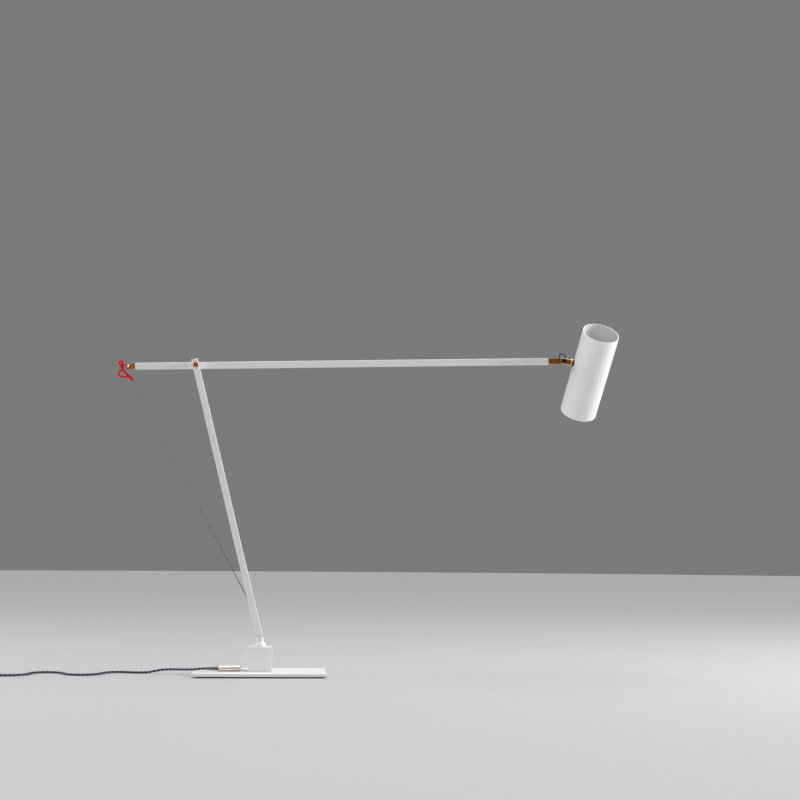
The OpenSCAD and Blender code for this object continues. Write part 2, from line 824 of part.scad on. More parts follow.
module head_plug() {
  shoulder = head_reach - fork_back - 0.25;
  color(brass) at_arm() translate([arm_head, 0, 0]) difference() {
    union() {
      bar_x(2 * tongue_r, -18, 1);
      eased_bar_x(brass_w, brass_corner_r, 0, shoulder);
      translate([head_reach, 0, 0]) rod_y(brass_w - 0.4, -fork_slot_w / 2 + run_gap, fork_slot_w / 2 - run_gap);
      translate([shoulder - 1, -fork_slot_w / 2 + run_gap, -(brass_w - 0.4) / 2])
        cube([head_reach - shoulder + 1, fork_slot_w - 2 * run_gap, brass_w - 0.4]);
    }
    translate([head_reach, 0, 0]) rod_y(tilt_screw_d + 2 * run_gap, -past, past);
    translate([head_reach + loop_x - loop_half, loop_y, brass_w / 2 - 1.5]) cylinder(d = loop_d + 0.1, h = 3);
    translate([0, 0, -inner_w / 2 + 1.2]) rod_x(2.4, -20, -13);
  }
}

module tail_plug() {
  w = brass_w / 2;
  tip = tie_reach + tail_tip;
  color(brass) at_arm() translate([-arm_tail, 0, 0]) difference() {
    union() {
      bar_x(2 * tongue_r, -1, 18);
      translate([0, w, 0]) rotate([90, 0, 0]) linear_extrude(brass_w)
        polygon([
          [0, -w],
          [0, w],
          [-0.14 * tip, w],
          [-0.58 * tip, 0.44 * w],
          [-0.87 * tip, -0.3 * w],
          [-0.985 * tip, -0.7 * w],
          [-tip, -w]
        ]);
      translate([-tie_reach, 0, tie_z]) rod_y(5, tie_y - arm_y + link_wire_d / 2 + 0.2, 0);
    }
    translate([-tie_reach, 0, tie_z]) rod_y(tail_pin_d + 2 * seat_gap, -past, 2);
  }
}

module tail_screw() {
  face = tie_y - arm_y - link_wire_d / 2 - 0.1;
  color(steel) at_arm() translate([tie_x, 0, tie_z]) {
    rod_y(tail_pin_d, face - e, 1.9);
    translate([0, face, 0]) rotate([90, 0, 0]) rotate_extrude()
      polygon([[0, 0], [1.9, 0], [1.84, 0.2], [1.62, 0.5], [1.24, 0.78], [0.7, 0.95], [0, 1]]);
  }
}

// Tie: the link, its ferrule and the wire that runs into the post

// The link's path in the tie's frame: X to the head's side of the pivot, Z up along the wire
link_end = [-wire_side, 0, -link_l];
// From the pivot under the loop and up its far side
link_branch = concat(
  [[-0.6, 0, 1.2], [-1.9, 0, 3.2], [-3.8, 0, 4.9]],
  [for (a = [285:-20:85]) link_loop(a)]
);
// Over the loop's top, down across the waist, round the eye and into the ferrule
link_main = concat(
  [for (a = [105:-20:-35]) link_loop(a)],
  [[-5.6, 0, 6], [-6.7, 0, 4.2], [-8.3, 0, 2.4], [-10.2, 0, 0.7], [-12.4, 0, -0.6], [-15, 0, -1.5]],
  [[-17.9, 0, -2.6], [-19.1, 0, -4.4], [-18.3, 0, -6.7], [-16.8, 0, -8.8], [-14.6, 0, -10.9]],
  [[-11.9, 0, -12.5], [-9.4, 0, -13.2], [-7.5, 0, -14.1], [-6.2, 0, -15.9], [-5, 0, -18.4]],
  [link_end + [0, 0, 1.5], link_end]
);
// The end that is laid back along it, from the ferrule to the loop
link_side = [
  [-8.8, 0, 7.3],
  [-9.5, 0, 5.4],
  [-9.9, 0, 3.4],
  [-9.9, 0, 1.2],
  [-9.6, 0, -1.4],
  [-9.1, 0, -4],
  [-8.2, 0, -7.1],
  [-7.1, 0, -10.3],
  [-5.9, 0, -13.5],
  [-4.5, 0, -16.8],
  [-3.5, 0, -19.4],
  link_end + [0.5, 0, 1]
];

// A point of the loop's round, at an angle
function link_loop(a) = [-7 + 2.9 * cos(a), 0, 9.4 + 2.9 * sin(a)];

module red_link() {
  color(red) at_tie() difference() {
    union() {
      tube_along(link_main, link_wire_d / 2, 10, [0, 1, 0]);
      tube_along(link_branch, link_wire_d / 2 - 0.1, 10, [0, 1, 0]);
      tube_along(link_side, link_wire_d / 2 - 0.15, 10, [0, 1, 0]);
      rod_y(tail_pin_d + 3, -link_wire_d / 2, link_wire_d / 2);
    }
    rod_y(tail_pin_d + 2 * run_gap, -past, past);
  }
}

module wire_ferrule() {
  color(steel) at_tie() translate(link_end - [0, 0, ferrule_l]) cylinder(d = 2.2, h = ferrule_l);
}

module tie_wire() {
  color("#5a6969") at_tie() translate([-wire_side, 0, -tie_len])
    cylinder(d = tie_wire_d, h = tie_len - link_l - ferrule_l);
}

// Head joint

module head_fork() {
  w = brass_w / 2;
  color(brass) at_fork() difference() {
    union() {
      intersection() {
        eased_bar_x(brass_w, brass_corner_r, -fork_back, flange_start + e);
        union() {
          rod_y(2 * fork_back, -past, past);
          translate([0, -past, -past]) cube([2 * past, 2 * past, 2 * past]);
        }
      }
      rod_x(flange_d, flange_start, saddle_start);
      rod_x(spigot_d, saddle_start - e, shade_reach - shade_in_r + inner_saddle_t + neck_nut_t + 1);
    }
    translate([-past, -fork_slot_w / 2, -past]) cube([past + fork_slot_floor, fork_slot_w, 2 * past]);
    rod_y(tilt_screw_d + 2 * seat_gap, -past, past);
    rod_x(spigot_bore_d, fork_slot_floor - 1, far);
  }
}

module tilt_screw() {
  w = brass_w / 2;
  color(black) at_fork() difference() {
    union() {
      rod_y(tilt_screw_d, -w - 0.5, w + 2.6);
      translate([0, -w, 0]) rotate([90, 0, 0]) rotate_extrude() polygon([
        [0, 0],
        [tilt_screw_head_d / 2, 0],
        [tilt_screw_head_d / 2, 1.2],
        [tilt_screw_head_d / 2 - 0.7, 1.8],
        [0, 1.8]
      ]);
    }
    translate([0, -w - 0.8, 0]) rotate([90, 0, 0]) cylinder(r = 1.4, h = 2, $fn = 6);
  }
}

module tilt_nut() {
  color(black) at_fork() translate([0, brass_w / 2 + 2.4, 0]) rotate([90, 0, 0]) difference() {
    hexagon(5.5, 2.4);
    translate([0, 0, -1]) cylinder(d = tilt_screw_d + 2 * seat_gap, h = 5);
  }
}

module lead_loop() {
  foot = brass_w / 2;
  color(black) at_arm() translate([arm_head + head_reach + loop_x, loop_y, 0]) {
    translate([0, 0, foot + loop_h - loop_half - loop_d / 2]) rotate([90, 0, 0])
      rotate_extrude(angle = 180) translate([loop_half, 0]) circle(d = loop_d);
    translate([-loop_half, 0, foot - 1]) cylinder(d = loop_d, h = 1 + loop_h - loop_half - loop_d / 2);
    translate([loop_half, 0, foot + 0.3]) cylinder(d = loop_d, h = loop_h - loop_half - loop_d / 2 - 0.3);
  }
}

module neck_nut() {
  color(steel) at_fork() translate([shade_reach - shade_in_r + inner_saddle_t, 0, 0]) rotate([0, 90, 0])
    difference() {
      hexagon(neck_nut_af, neck_nut_t);
      translate([0, 0, -1]) cylinder(d = spigot_d + 2 * seat_gap, h = neck_nut_t + 2);
    }
}

// Shade and light unit, in the shade's frame: X away from the arm, Z up the shade

module saddle_ring() {
  x = saddle_start - shade_reach;
  color(black) at_shade() difference() {
    rod_x(saddle_d, x, -shade_d / 2 + 1);
    rod_x(spigot_d + 2 * run_gap, x - 1, 0);
    translate([0, 0, -past]) cylinder(r = shade_d / 2 + seat_gap, h = 2 * past, $fn = 128);
  }
}

module shade_tube() {
  color(white) at_shade() difference() {
    rotate_extrude($fn = 128) {
      translate([shade_in_r, shade_bottom + shade_wall / 2]) square([shade_wall, shade_l - shade_wall]);
      for (z = [shade_bottom + shade_wall / 2, shade_top - shade_wall / 2])
        translate([shade_in_r + shade_wall / 2, z]) circle(d = shade_wall, $fn = 32);
    }
    rod_x(spigot_d + 2 * run_gap, -shade_d, 0);
  }
}

module inner_saddle() {
  color(black) at_shade() difference() {
    intersection() {
      rod_x(inner_saddle_d, -shade_d, inner_saddle_t - shade_in_r);
      translate([0, 0, -past]) cylinder(r = shade_in_r - seat_gap, h = 2 * past, $fn = 128);
    }
    rod_x(spigot_d + 2 * run_gap, -shade_d, 0);
  }
}

module heat_sink() {
  fins = 7;
  gap = 3.4;
  step = 2 * sink_r / (fins + 1);
  color("dimgray") at_shade() difference() {
    translate([0, 0, sink_z]) cylinder(r = sink_r, h = sink_h);
    for (i = [1:fins])
      translate([-sink_r - 1, i * step - sink_r - gap / 2, sink_z + 5])
        cube([2 * sink_r + 2, gap, sink_h]);
    translate([0, 0, sink_z - 1]) cylinder(d = 2 * head_lead_r + 2 * seat_gap, h = sink_h + 2);
  }
}

module head_lead() {
  x0 = shade_reach - shade_in_r + inner_saddle_t + neck_nut_t + 1 - shade_reach;
  top = sink_z + sink_h;
  color(black) at_shade() tube_along(
    concat(
      smooth([[x0 + 0.25, 0, 0], [x0 + 4, 0, 0], [-9, 0, -1], [-3, 0, -4], [0, 0, -9], [0, 0, top]], 3),
      [[0, 0, sink_z + 6], [0, 0, sink_z + 1]]
    ),
    head_lead_r, 8, [0, 1, 0]
  );
}

module led_board() {
  color("darkgreen") at_shade() translate([0, 0, board_z]) cylinder(d = board_d, h = board_t);
}

module led_chip() {
  color("khaki") at_shade() translate([0, 0, board_z - chip_t]) cylinder(d = chip_d, h = chip_t);
}

module reflector() {
  throat = chip_d / 2 + 2;
  mouth = shade_in_r - 1.5;
  wall = 1;
  low = diffuser_z + diffuser_t;
  color(steel) at_shade() translate([0, 0, low]) rotate_extrude() polygon([
    [mouth, 0],
    [mouth - wall, 0],
    [throat, reflector_h],
    [throat + wall, reflector_h]
  ]);
}

module diffuser() {
  color("whitesmoke") at_shade() translate([0, 0, diffuser_z]) cylinder(r = sink_r, h = diffuser_t);
}

module retaining_ring() {
  color(white) at_shade() translate([0, 0, ring_z]) washer(2 * sink_r, 2 * sink_r - 5, ring_t);
}

base_plate();
base_pad();
socket_block();
block_screws();
dimmer_body();
dimmer_board();
dimmer_button();
cord_gland();
base_lead();
cord_run();
cord_coil();
coil_tie();
cord_tail();
plug_body();
plug_pins();
swivel_stem();
thrust_washer();
wave_washer();
swivel_nut();
knuckle_pin();
post_knuckle();
post_tube();
post_grub_screws();
post_cap();
post_lead();
pivot_bolt();
pivot_washer();
pivot_spring_washer();
pivot_nut();
spring_stop_pin();
counter_spring();
wire_slider();
arm_tube();
arm_bush();
arm_lead();
head_plug();
tail_plug();
tail_screw();
red_link();
wire_ferrule();
tie_wire();
head_fork();
tilt_screw();
tilt_nut();
lead_loop();
neck_nut();
saddle_ring();
shade_tube();
inner_saddle();
heat_sink();
head_lead();
led_board();
led_chip();
reflector();
diffuser();
retaining_ring();
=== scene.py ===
"""Balanced-arm table lamp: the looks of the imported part, laid out as an add-on and run as a script."""

import math

import bmesh
import bpy
from bpy.props import FloatProperty, FloatVectorProperty, IntProperty, PointerProperty
from mathutils import Matrix, Vector


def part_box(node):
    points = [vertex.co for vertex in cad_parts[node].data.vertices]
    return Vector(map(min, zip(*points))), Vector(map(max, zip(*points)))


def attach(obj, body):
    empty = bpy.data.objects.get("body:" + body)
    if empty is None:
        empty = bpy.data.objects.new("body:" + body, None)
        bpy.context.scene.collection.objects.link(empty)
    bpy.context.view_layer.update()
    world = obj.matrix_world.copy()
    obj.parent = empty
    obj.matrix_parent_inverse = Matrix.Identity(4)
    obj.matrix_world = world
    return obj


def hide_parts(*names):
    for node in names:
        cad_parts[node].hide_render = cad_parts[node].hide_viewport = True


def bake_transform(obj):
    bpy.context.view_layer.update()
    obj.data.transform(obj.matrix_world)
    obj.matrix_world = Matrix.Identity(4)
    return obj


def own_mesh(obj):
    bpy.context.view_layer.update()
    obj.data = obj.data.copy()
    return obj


bl_info = {
    "name": "Balanced-arm table lamp",
    "version": (1, 0, 0),
    "blender": (4, 5, 0),
    "location": "View3D > Sidebar > Lamp",
    "description": "Dresses the packed lamp with finished pieces and materials",
    "category": "Object",
}

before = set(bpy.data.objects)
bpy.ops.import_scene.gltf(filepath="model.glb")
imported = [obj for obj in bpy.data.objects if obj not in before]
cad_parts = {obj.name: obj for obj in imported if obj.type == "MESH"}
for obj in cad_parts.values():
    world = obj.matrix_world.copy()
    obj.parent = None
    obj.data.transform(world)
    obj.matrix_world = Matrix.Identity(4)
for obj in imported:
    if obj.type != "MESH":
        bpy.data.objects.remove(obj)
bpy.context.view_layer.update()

# Places on the lamp, in millimetres and degrees, as the part's source has them
TILT_PIN = Vector((0, 0, 54))
POST_LEAN = 14
POST_REACH = 430
ARM_RISE = 1.5
ARM_TAIL = 93
TAIL_PIN = Vector((-103, 0, -0.5))
ARM_HEAD = 547
HEAD_REACH = 25
FORK_FALL = 10
SHADE_REACH = 44.2
SHADE_TURN = 36.5
TIE_ANGLE = 28.54
WIRE_SIDE = 4.1
TIE_LENGTH = 406.8
ARM_PIVOT = Vector((-104.026, 11, 471.227))
TIE_PIVOT = Vector((-206.979, 2, 468.031))
TUBE_HALF = 5
BORE_HALF = 4
DIMMER_SIDE = -8

# A piece with fewer faces has its normals weighted by area, so that flat faces look flat up to their rounds
EVEN_UP_TO = 20000


def mm(metres):
    return metres * 1000


def turned(degrees, axis):
    return Matrix.Rotation(math.radians(degrees), 4, axis)


WORLD = Matrix.Identity(4)
POST = Matrix.Translation(TILT_PIN) @ turned(-POST_LEAN, "Y")
ARM = Matrix.Translation(ARM_PIVOT) @ turned(-ARM_RISE, "Y")
TIE = Matrix.Translation(TIE_PIVOT) @ turned(-TIE_ANGLE, "Y")
FORK = ARM @ Matrix.Translation((ARM_HEAD + HEAD_REACH, 0, 0)) @ turned(FORK_FALL + ARM_RISE, "Y")
SHADE = FORK @ Matrix.Translation((SHADE_REACH, 0, 0)) @ turned(SHADE_TURN, "X")


# Shapes: a bmesh is drawn in millimetres in its own place, then set down in metres


def block(bm, low, high):
    """A box between two corners."""
    low, high = Vector(low), Vector(high)
    size = Matrix.Diagonal((*(high - low), 1))
    bmesh.ops.create_cube(bm, size=1, matrix=Matrix.Translation((low + high) / 2) @ size)


def turn(bm, profile, sides=64, place=WORLD):
    """A turned piece: points of radius and height, spun about Z and set in its place."""
    verts = [bm.verts.new((r, 0, z)) for r, z in profile]
    edges = [bm.edges.new(pair) for pair in zip(verts, verts[1:])]
    bmesh.ops.spin(
        bm, geom=verts + edges, cent=(0, 0, 0), axis=(0, 0, 1), dvec=(0, 0, 0),
        angle=2 * math.pi, steps=sides, use_merge=True, use_duplicate=False,
    )
    bmesh.ops.remove_doubles(bm, verts=bm.verts, dist=1e-4)
    bmesh.ops.dissolve_degenerate(bm, edges=bm.edges, dist=1e-4)
    bmesh.ops.recalc_face_normals(bm, faces=bm.faces)
    bmesh.ops.transform(bm, matrix=place, verts=bm.verts)
    return bm


def slab(bm, outline, low, high, axis="Y"):
    """A flat outline pushed through from one level to the other along an axis."""
    if axis == "Y":
        verts = [bm.verts.new((x, low, z)) for x, z in outline]
        push = Vector((0, high - low, 0))
    else:
        verts = [bm.verts.new((x, y, low)) for x, y in outline]
        push = Vector((0, 0, high - low))
    face = bm.faces.new(verts)
    made = bmesh.ops.extrude_face_region(bm, geom=[face])["geom"]
    bmesh.ops.translate(bm, vec=push, verts=[v for v in made if isinstance(v, bmesh.types.BMVert)])
    bmesh.ops.recalc_face_normals(bm, faces=bm.faces)
    return bm


def soften(bm, width, segments=2, over=32, where=None):
    """Rounds the edges that are sharper than an angle, or those that a test picks."""
    edges = [
        e for e in bm.edges
        if e.is_manifold and e.calc_face_angle(0) > math.radians(over) and (where is None or where(e))
    ]
    if edges:
        bmesh.ops.bevel(
            bm, geom=edges, offset=width, offset_type="OFFSET", segments=segments,
            profile=0.5, affect="EDGES", clamp_overlap=True, material=-1,
        )
    return bm


def along(axis):
    """A test for the edges that run along one axis."""
    unit = Vector([1.0 if a == axis else 0.0 for a in "XYZ"])
    return lambda e: abs((e.verts[0].co - e.verts[1].co).normalized().dot(unit)) > 0.99


def to_mesh(bm, name):
    mesh = bpy.data.meshes.new(name)
    bm.to_mesh(mesh)
    return mesh


def cut(bm, tool):
    """The shape left when a tool's shape is taken away from it. Both are used up."""
    stock = bpy.data.objects.new("stock", to_mesh(bm, "stock"))
    cutter = bpy.data.objects.new("cutter", to_mesh(tool, "cutter"))
    for thing in (stock, cutter):
        bpy.context.scene.collection.objects.link(thing)
    step = stock.modifiers.new("cut", "BOOLEAN")
    step.operation, step.object, step.solver = "DIFFERENCE", cutter, "EXACT"
    shape = stock.evaluated_get(bpy.context.evaluated_depsgraph_get())
    left = bmesh.new()
    left.from_mesh(shape.data)
    for thing in (stock, cutter):
        mesh = thing.data
        bpy.data.objects.remove(thing)
        bpy.data.meshes.remove(mesh)
    bm.free()
    tool.free()
    bmesh.ops.remove_doubles(left, verts=left.verts, dist=1e-4)
    bmesh.ops.dissolve_limit(left, angle_limit=math.radians(0.5), verts=left.verts, edges=left.edges)
    return left


def drilled(bm, diameter, start, end, sides=32):
    """The shape left when a round hole is taken away from it, between two points."""
    start, end = Vector(start), Vector(end)
    run = end - start
    place = Matrix.Translation((start + end) / 2) @ run.to_track_quat("Z", "Y").to_matrix().to_4x4()
    tool = bmesh.new()
    bmesh.ops.create_cone(
        tool, cap_ends=True, cap_tris=False, segments=sides,
        radius1=diameter / 2, radius2=diameter / 2, depth=run.length, matrix=place,
    )
    return cut(bm, tool)


def from_solid(node):
    """A merged copy of a solid's mesh, in millimetres, with its flat faces whole."""
    bm = bmesh.new()
    bm.from_mesh(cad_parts[node].data)
    bmesh.ops.scale(bm, vec=(1000, 1000, 1000), verts=bm.verts)
    bmesh.ops.remove_doubles(bm, verts=bm.verts, dist=2e-3)
    bmesh.ops.dissolve_limit(bm, angle_limit=math.radians(1), verts=bm.verts, edges=bm.edges)
    return bm


def eased(points, steps):
    """A smooth line through points, with some steps between two of them."""
    points = [Vector(p) for p in points]
    last = len(points) - 1
    line = []
    for i in range(last):
        p0, p1, p2, p3 = points[max(i - 1, 0)], points[i], points[i + 1], points[min(i + 2, last)]
        for k in range(steps):
            t = k / steps
            line.append(0.5 * (2 * p1 + (p2 - p0) * t + (2 * p0 - 5 * p1 + 4 * p2 - p3) * t * t
                               + (3 * p1 - p0 - 3 * p2 + p3) * t ** 3))
    return line + [points[last]]


def stepped(line, step):
    """The same line with its points an even step apart."""
    out, left = [line[0].copy()], step
    for a, b in zip(line, line[1:]):
        run = (b - a).length
        while run >= left:
            out.append(a.lerp(b, left / run))
            a, run, left = out[-1], (b - out[-1]).length, step
        left -= run
    if (out[-1] - line[-1]).length > step / 3:
        out.append(line[-1].copy())
    return out


def frames_along(line):
    """A direction and two cross directions at each point, carried along without twist."""
    up = Vector((0, 0, 1))
    out = []
    for i, p in enumerate(line):
        ahead = (line[min(i + 1, len(line) - 1)] - line[max(i - 1, 0)]).normalized()
        side = up.cross(ahead)
        if side.length < 1e-6:
            side = Vector((1, 0, 0))
        side.normalize()
        up = ahead.cross(side).normalized()
        out.append((p, side, up))
    return out


def sweep(bm, line, radius, sides, offset=0.0, pitch=1.0, phase=0.0):
    """A closed tube: a grid wrapped round a line, its UV round it in U and along it, in centimetres, in V.

    With an offset the tube winds round the line, one turn in each pitch."""
    stations, runs = frames_along(line), [0.0]
    for a, b in zip(line, line[1:]):
        runs.append(runs[-1] + (b - a).length)
    last = len(line) - 1
    tube = bmesh.new()
    uv = tube.loops.layers.uv.verify()
    bmesh.ops.create_grid(tube, x_segments=sides, y_segments=last, size=0.5, calc_uvs=True)
    for vert in tube.verts:
        i = round((vert.co.y + 0.5) * last)
        point, side, up = stations[i]
        if offset:
            lean = 2 * math.pi * runs[i] / pitch + phase
            point = point + offset * (math.cos(lean) * side + math.sin(lean) * up)
        a = 2 * math.pi * (vert.co.x + 0.5)
        vert.co = point + radius * (math.cos(a) * side + math.sin(a) * up)
    for face in tube.faces:
        for loop in face.loops:
            loop[uv].uv.y = runs[round(loop[uv].uv.y * last)] / 10
    bmesh.ops.remove_doubles(tube, verts=tube.verts, dist=1e-4)
    bmesh.ops.holes_fill(tube, edges=[e for e in tube.edges if e.is_boundary], sides=0)
    bmesh.ops.recalc_face_normals(tube, faces=tube.faces)
    return add(bm, tube)


def add(bm, other):
    """Adds one shape to another."""
    mesh = to_mesh(other, "part")
    bm.from_mesh(mesh)
    other.free()
    bpy.data.meshes.remove(mesh)
    return bm


def set_down(bm, name, body, finish, replaced=(), place=WORLD, sharp=40, hollow=False):
    """Makes the shape a finished piece: in metres, shaded, with its material, riding on its body."""
    bmesh.ops.transform(bm, matrix=Matrix.Scale(0.001, 4) @ place, verts=bm.verts)
    if not hollow:
        bmesh.ops.recalc_face_normals(bm, faces=bm.faces)
    for face in bm.faces:
        face.smooth = True
    for edge in bm.edges:
        edge.smooth = not (edge.is_manifold and edge.calc_face_angle(0) > math.radians(sharp))
    mesh = to_mesh(bm, name)
    bm.free()
    piece = bpy.data.objects.new(name, mesh)
    bpy.context.scene.collection.objects.link(piece)
    mesh.materials.append(finish)
    if len(mesh.polygons) < EVEN_UP_TO:
        even = piece.modifiers.new("even_faces", "WEIGHTED_NORMAL")
        even.keep_sharp = True
    if body:
        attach(piece, body)
    if replaced:
        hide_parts(*replaced)
    return piece


def dress(node, body, finish, softness=0.2, segments=2, over=32):
    """A piece in the solid's own shape, with its edges eased."""
    bm = soften(from_solid(node), softness, segments, over)
    return set_down(bm, node + "_piece", body, finish, (node,), hollow=True)


def coat(node, finish):
    """Gives a carried-over solid its finish."""
    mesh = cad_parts[node].data
    mesh.materials.clear()
    mesh.materials.append(finish)


# Finishes


class Finish:
    """A material under construction, with short words for its nodes."""

    def __init__(self, name, **sockets):
        self.material = bpy.data.materials.new(name)
        self.material.use_nodes = True
        self.tree = self.material.node_tree
        self.shader = self.tree.nodes["Principled BSDF"]
        for socket, value in sockets.items():
            self.shader.inputs[socket.replace("_", " ")].default_value = value
        self.where = self.node("ShaderNodeTexCoord").outputs["Object"]

    def node(self, kind, **values):
        made = self.tree.nodes.new(kind)
        for key, value in values.items():
            if key in made.inputs:
                made.inputs[key].default_value = value
            else:
                setattr(made, key, value)
        return made

    def join(self, source, target):
        self.tree.links.new(source, target)

    def stretch(self, scale, turn_by=(0, 0, 0), source=None):
        made = self.node("ShaderNodeMapping", Scale=scale, Rotation=turn_by)
        self.join(source or self.where, made.inputs["Vector"])
        return made.outputs["Vector"]

    def grain(self, scale, detail=3.0, source=None):
        made = self.node("ShaderNodeTexNoise", Scale=scale, Detail=detail, Roughness=0.55)
        self.join(source or self.where, made.inputs["Vector"])
        return made.outputs["Fac"]

    def ramp(self, source, *stops):
        made = self.node("ShaderNodeValToRGB")
        bar = made.color_ramp.elements
        while len(bar) < len(stops):
            bar.new(0.5)
        for element, (at, colour) in zip(bar, stops):
            element.position = at
            element.color = (*colour, 1)
        self.join(source, made.inputs["Fac"])
        return made.outputs["Color"]

    def spread(self, source, low, high, start=0.0, end=1.0):
        made = self.node("ShaderNodeMapRange")
        for key, value in (("From Min", start), ("From Max", end), ("To Min", low), ("To Max", high)):
            made.inputs[key].default_value = value
        self.join(source, made.inputs["Value"])
        return made.outputs["Result"]

    def mix(self, factor, first, second):
        made = self.node("ShaderNodeMix", data_type="RGBA")
        for value, index in ((factor, 0), (first, 6), (second, 7)):
            if isinstance(value, bpy.types.NodeSocket):
                self.join(value, made.inputs[index])
            else:
                made.inputs[index].default_value = (*value, 1)
        return made.outputs[2]

    def greater(self, first, second):
        made = self.node("ShaderNodeMath", operation="MAXIMUM")
        self.join(first, made.inputs[0])
        self.join(second, made.inputs[1])
        return made.outputs[0]

    def bands(self, scale, lean, source):
        made = self.node("ShaderNodeTexWave", wave_type="BANDS", bands_direction="X", Scale=1.0)
        self.join(self.stretch((*scale, 1), (0, 0, lean), source), made.inputs["Vector"])
        return made.outputs["Fac"]

    def bump(self, height, strength, distance):
        made = self.node("ShaderNodeBump", Strength=strength, Distance=distance)
        self.join(height, made.inputs["Height"])
        self.join(made.outputs["Normal"], self.shader.inputs["Normal"])

    def colour(self, source):
        self.join(source, self.shader.inputs["Base Color"])

    def roughness(self, source):
        self.join(source, self.shader.inputs["Roughness"])


def shade_of(colour, factor):
    return tuple(min(1.0, c * factor) for c in colour)


def powder_coat(name, colour):
    f = Finish(name, IOR=1.5, Coat_Weight=0.15, Coat_Roughness=0.2)
    cloud = f.grain(14, 2)
    f.colour(f.ramp(cloud, (0.3, shade_of(colour, 0.975)), (0.7, colour)))
    peel = f.grain(1400, 2)
    f.roughness(f.spread(f.grain(240, 3), 0.34, 0.46, 0.35, 0.65))
    f.bump(peel, 0.12, 0.00012)
    return f.material


def lacquered_brass(name, colour, rough=0.2):
    f = Finish(name, Metallic=1.0, Coat_Weight=0.08, Coat_Roughness=0.08, Anisotropic=0.35)
    tarnish = f.grain(90, 4)
    f.colour(f.ramp(tarnish, (0.3, shade_of(colour, 0.8)), (0.52, colour), (0.8, shade_of(colour, 1.15))))
    lines = f.grain(900, 2, f.stretch((1, 14, 14)))
    f.roughness(f.spread(lines, rough, rough + 0.12, 0.3, 0.7))
    f.bump(lines, 0.08, 0.00004)
    return f.material


def plain_steel(name, colour, rough):
    f = Finish(name, Metallic=1.0)
    marks = f.grain(1100, 3, f.stretch((12, 12, 1)))
    f.colour(f.ramp(marks, (0.35, shade_of(colour, 0.85)), (0.65, colour)))
    f.roughness(f.spread(marks, rough - 0.06, rough + 0.08, 0.3, 0.7))
    f.bump(marks, 0.1, 0.00003)
    return f.material


def moulded(name, colour, rough, grain=1800, strength=0.15, **sockets):
    f = Finish(name, IOR=1.48, **sockets)
    cloud = f.grain(60, 3)
    f.colour(f.ramp(cloud, (0.3, shade_of(colour, 0.88)), (0.7, shade_of(colour, 1.06))))
    fine = f.grain(grain, 3)
    f.roughness(f.spread(fine, rough - 0.05, rough + 0.08, 0.3, 0.7))
    f.bump(fine, strength, 0.00006)
    return f.material


def gloss_red(colour):
    f = Finish("gloss_red", IOR=1.42, Coat_Weight=0.12, Coat_Roughness=0.05, Subsurface_Weight=0.03)
    f.shader.inputs["Subsurface Radius"].default_value = (0.002, 0.0005, 0.0003)
    cloud = f.grain(160, 2)
    f.colour(f.ramp(cloud, (0.3, shade_of(colour, 0.86)), (0.7, colour)))
    f.roughness(f.spread(f.grain(700, 2), 0.14, 0.24, 0.3, 0.7))
    f.bump(f.grain(420, 1), 0.04, 0.00006)
    return f.material


def braided_cord(colour, fleck):
    f = Finish("braided_cord", Sheen_Weight=0.25, Sheen_Roughness=0.4, IOR=1.45)
    lay = f.node("ShaderNodeTexCoord").outputs["UV"]
    braid = f.greater(f.bands((2.6, 3.4), 0.62, lay), f.bands((2.6, 3.4), -0.62, lay))
    light = f.grain(9, 2, f.stretch((3, 5, 1), (0, 0, 0.6), lay))
    base = f.ramp(braid, (0.35, shade_of(colour, 0.45)), (0.85, colour))
    speck = f.ramp(light, (0.57, (0, 0, 0)), (0.66, (1, 1, 1)))
    f.colour(f.mix(speck, base, fleck))
    f.roughness(f.spread(braid, 0.85, 0.62))
    f.bump(braid, 0.6, 0.00018)
    return f.material


def stranded_wire(colour):
    f = Finish("stranded_wire", Metallic=1.0)
    lay = f.node("ShaderNodeTexCoord").outputs["UV"]
    strands = f.bands((1.9, 1.9), 0.7, lay)
    f.colour(f.ramp(strands, (0.1, shade_of(colour, 0.6)), (0.7, colour)))
    f.roughness(f.spread(f.grain(600, 2), 0.42, 0.55, 0.3, 0.7))
    f.bump(strands, 0.35, 0.0001)
    return f.material


def frosted_cover():
    f = Finish("frosted_cover", Transmission_Weight=0.35, IOR=1.49, Roughness=0.5)
    f.colour(f.ramp(f.grain(40, 2), (0.3, (0.86, 0.86, 0.83)), (0.7, (0.92, 0.92, 0.9))))
    f.bump(f.grain(900, 2), 0.2, 0.0001)
    return f.material


def circuit_board():
    f = Finish("circuit_board", IOR=1.5, Coat_Weight=0.4)
    tracks = f.node("ShaderNodeTexBrick", Scale=240)
    f.join(f.where, tracks.inputs["Vector"])
    f.colour(f.mix(tracks.outputs["Fac"], (0.01, 0.13, 0.05), (0.02, 0.2, 0.09)))
    f.roughness(f.spread(f.grain(300, 2), 0.3, 0.45))
    f.bump(tracks.outputs["Fac"], 0.2, 0.00004)
    return f.material


def light_chip():
    f = Finish("light_chip", IOR=1.5)
    dots = f.node("ShaderNodeTexVoronoi", Scale=420)
    f.join(f.where, dots.inputs["Vector"])
    f.colour(f.ramp(dots.outputs["Distance"], (0.2, (0.7, 0.45, 0.03)), (0.6, (0.85, 0.72, 0.15))))
    f.roughness(f.spread(f.grain(500, 2), 0.25, 0.4))
    f.bump(dots.outputs["Distance"], 0.3, 0.0001)
    return f.material


def pale_floor(colour):
    f = Finish("pale_floor")
    f.colour(f.ramp(f.grain(2, 2), (0.3, shade_of(colour, 0.985)), (0.7, colour)))
    f.roughness(f.spread(f.grain(60, 3), 0.55, 0.7))
    return f.material


# Settings


def size_property(name, description, default, low, high):
    """A length in metres."""
    return FloatProperty(
        name=name, description=description, default=default, min=low, max=high,
        subtype="DISTANCE", unit="LENGTH", precision=4)


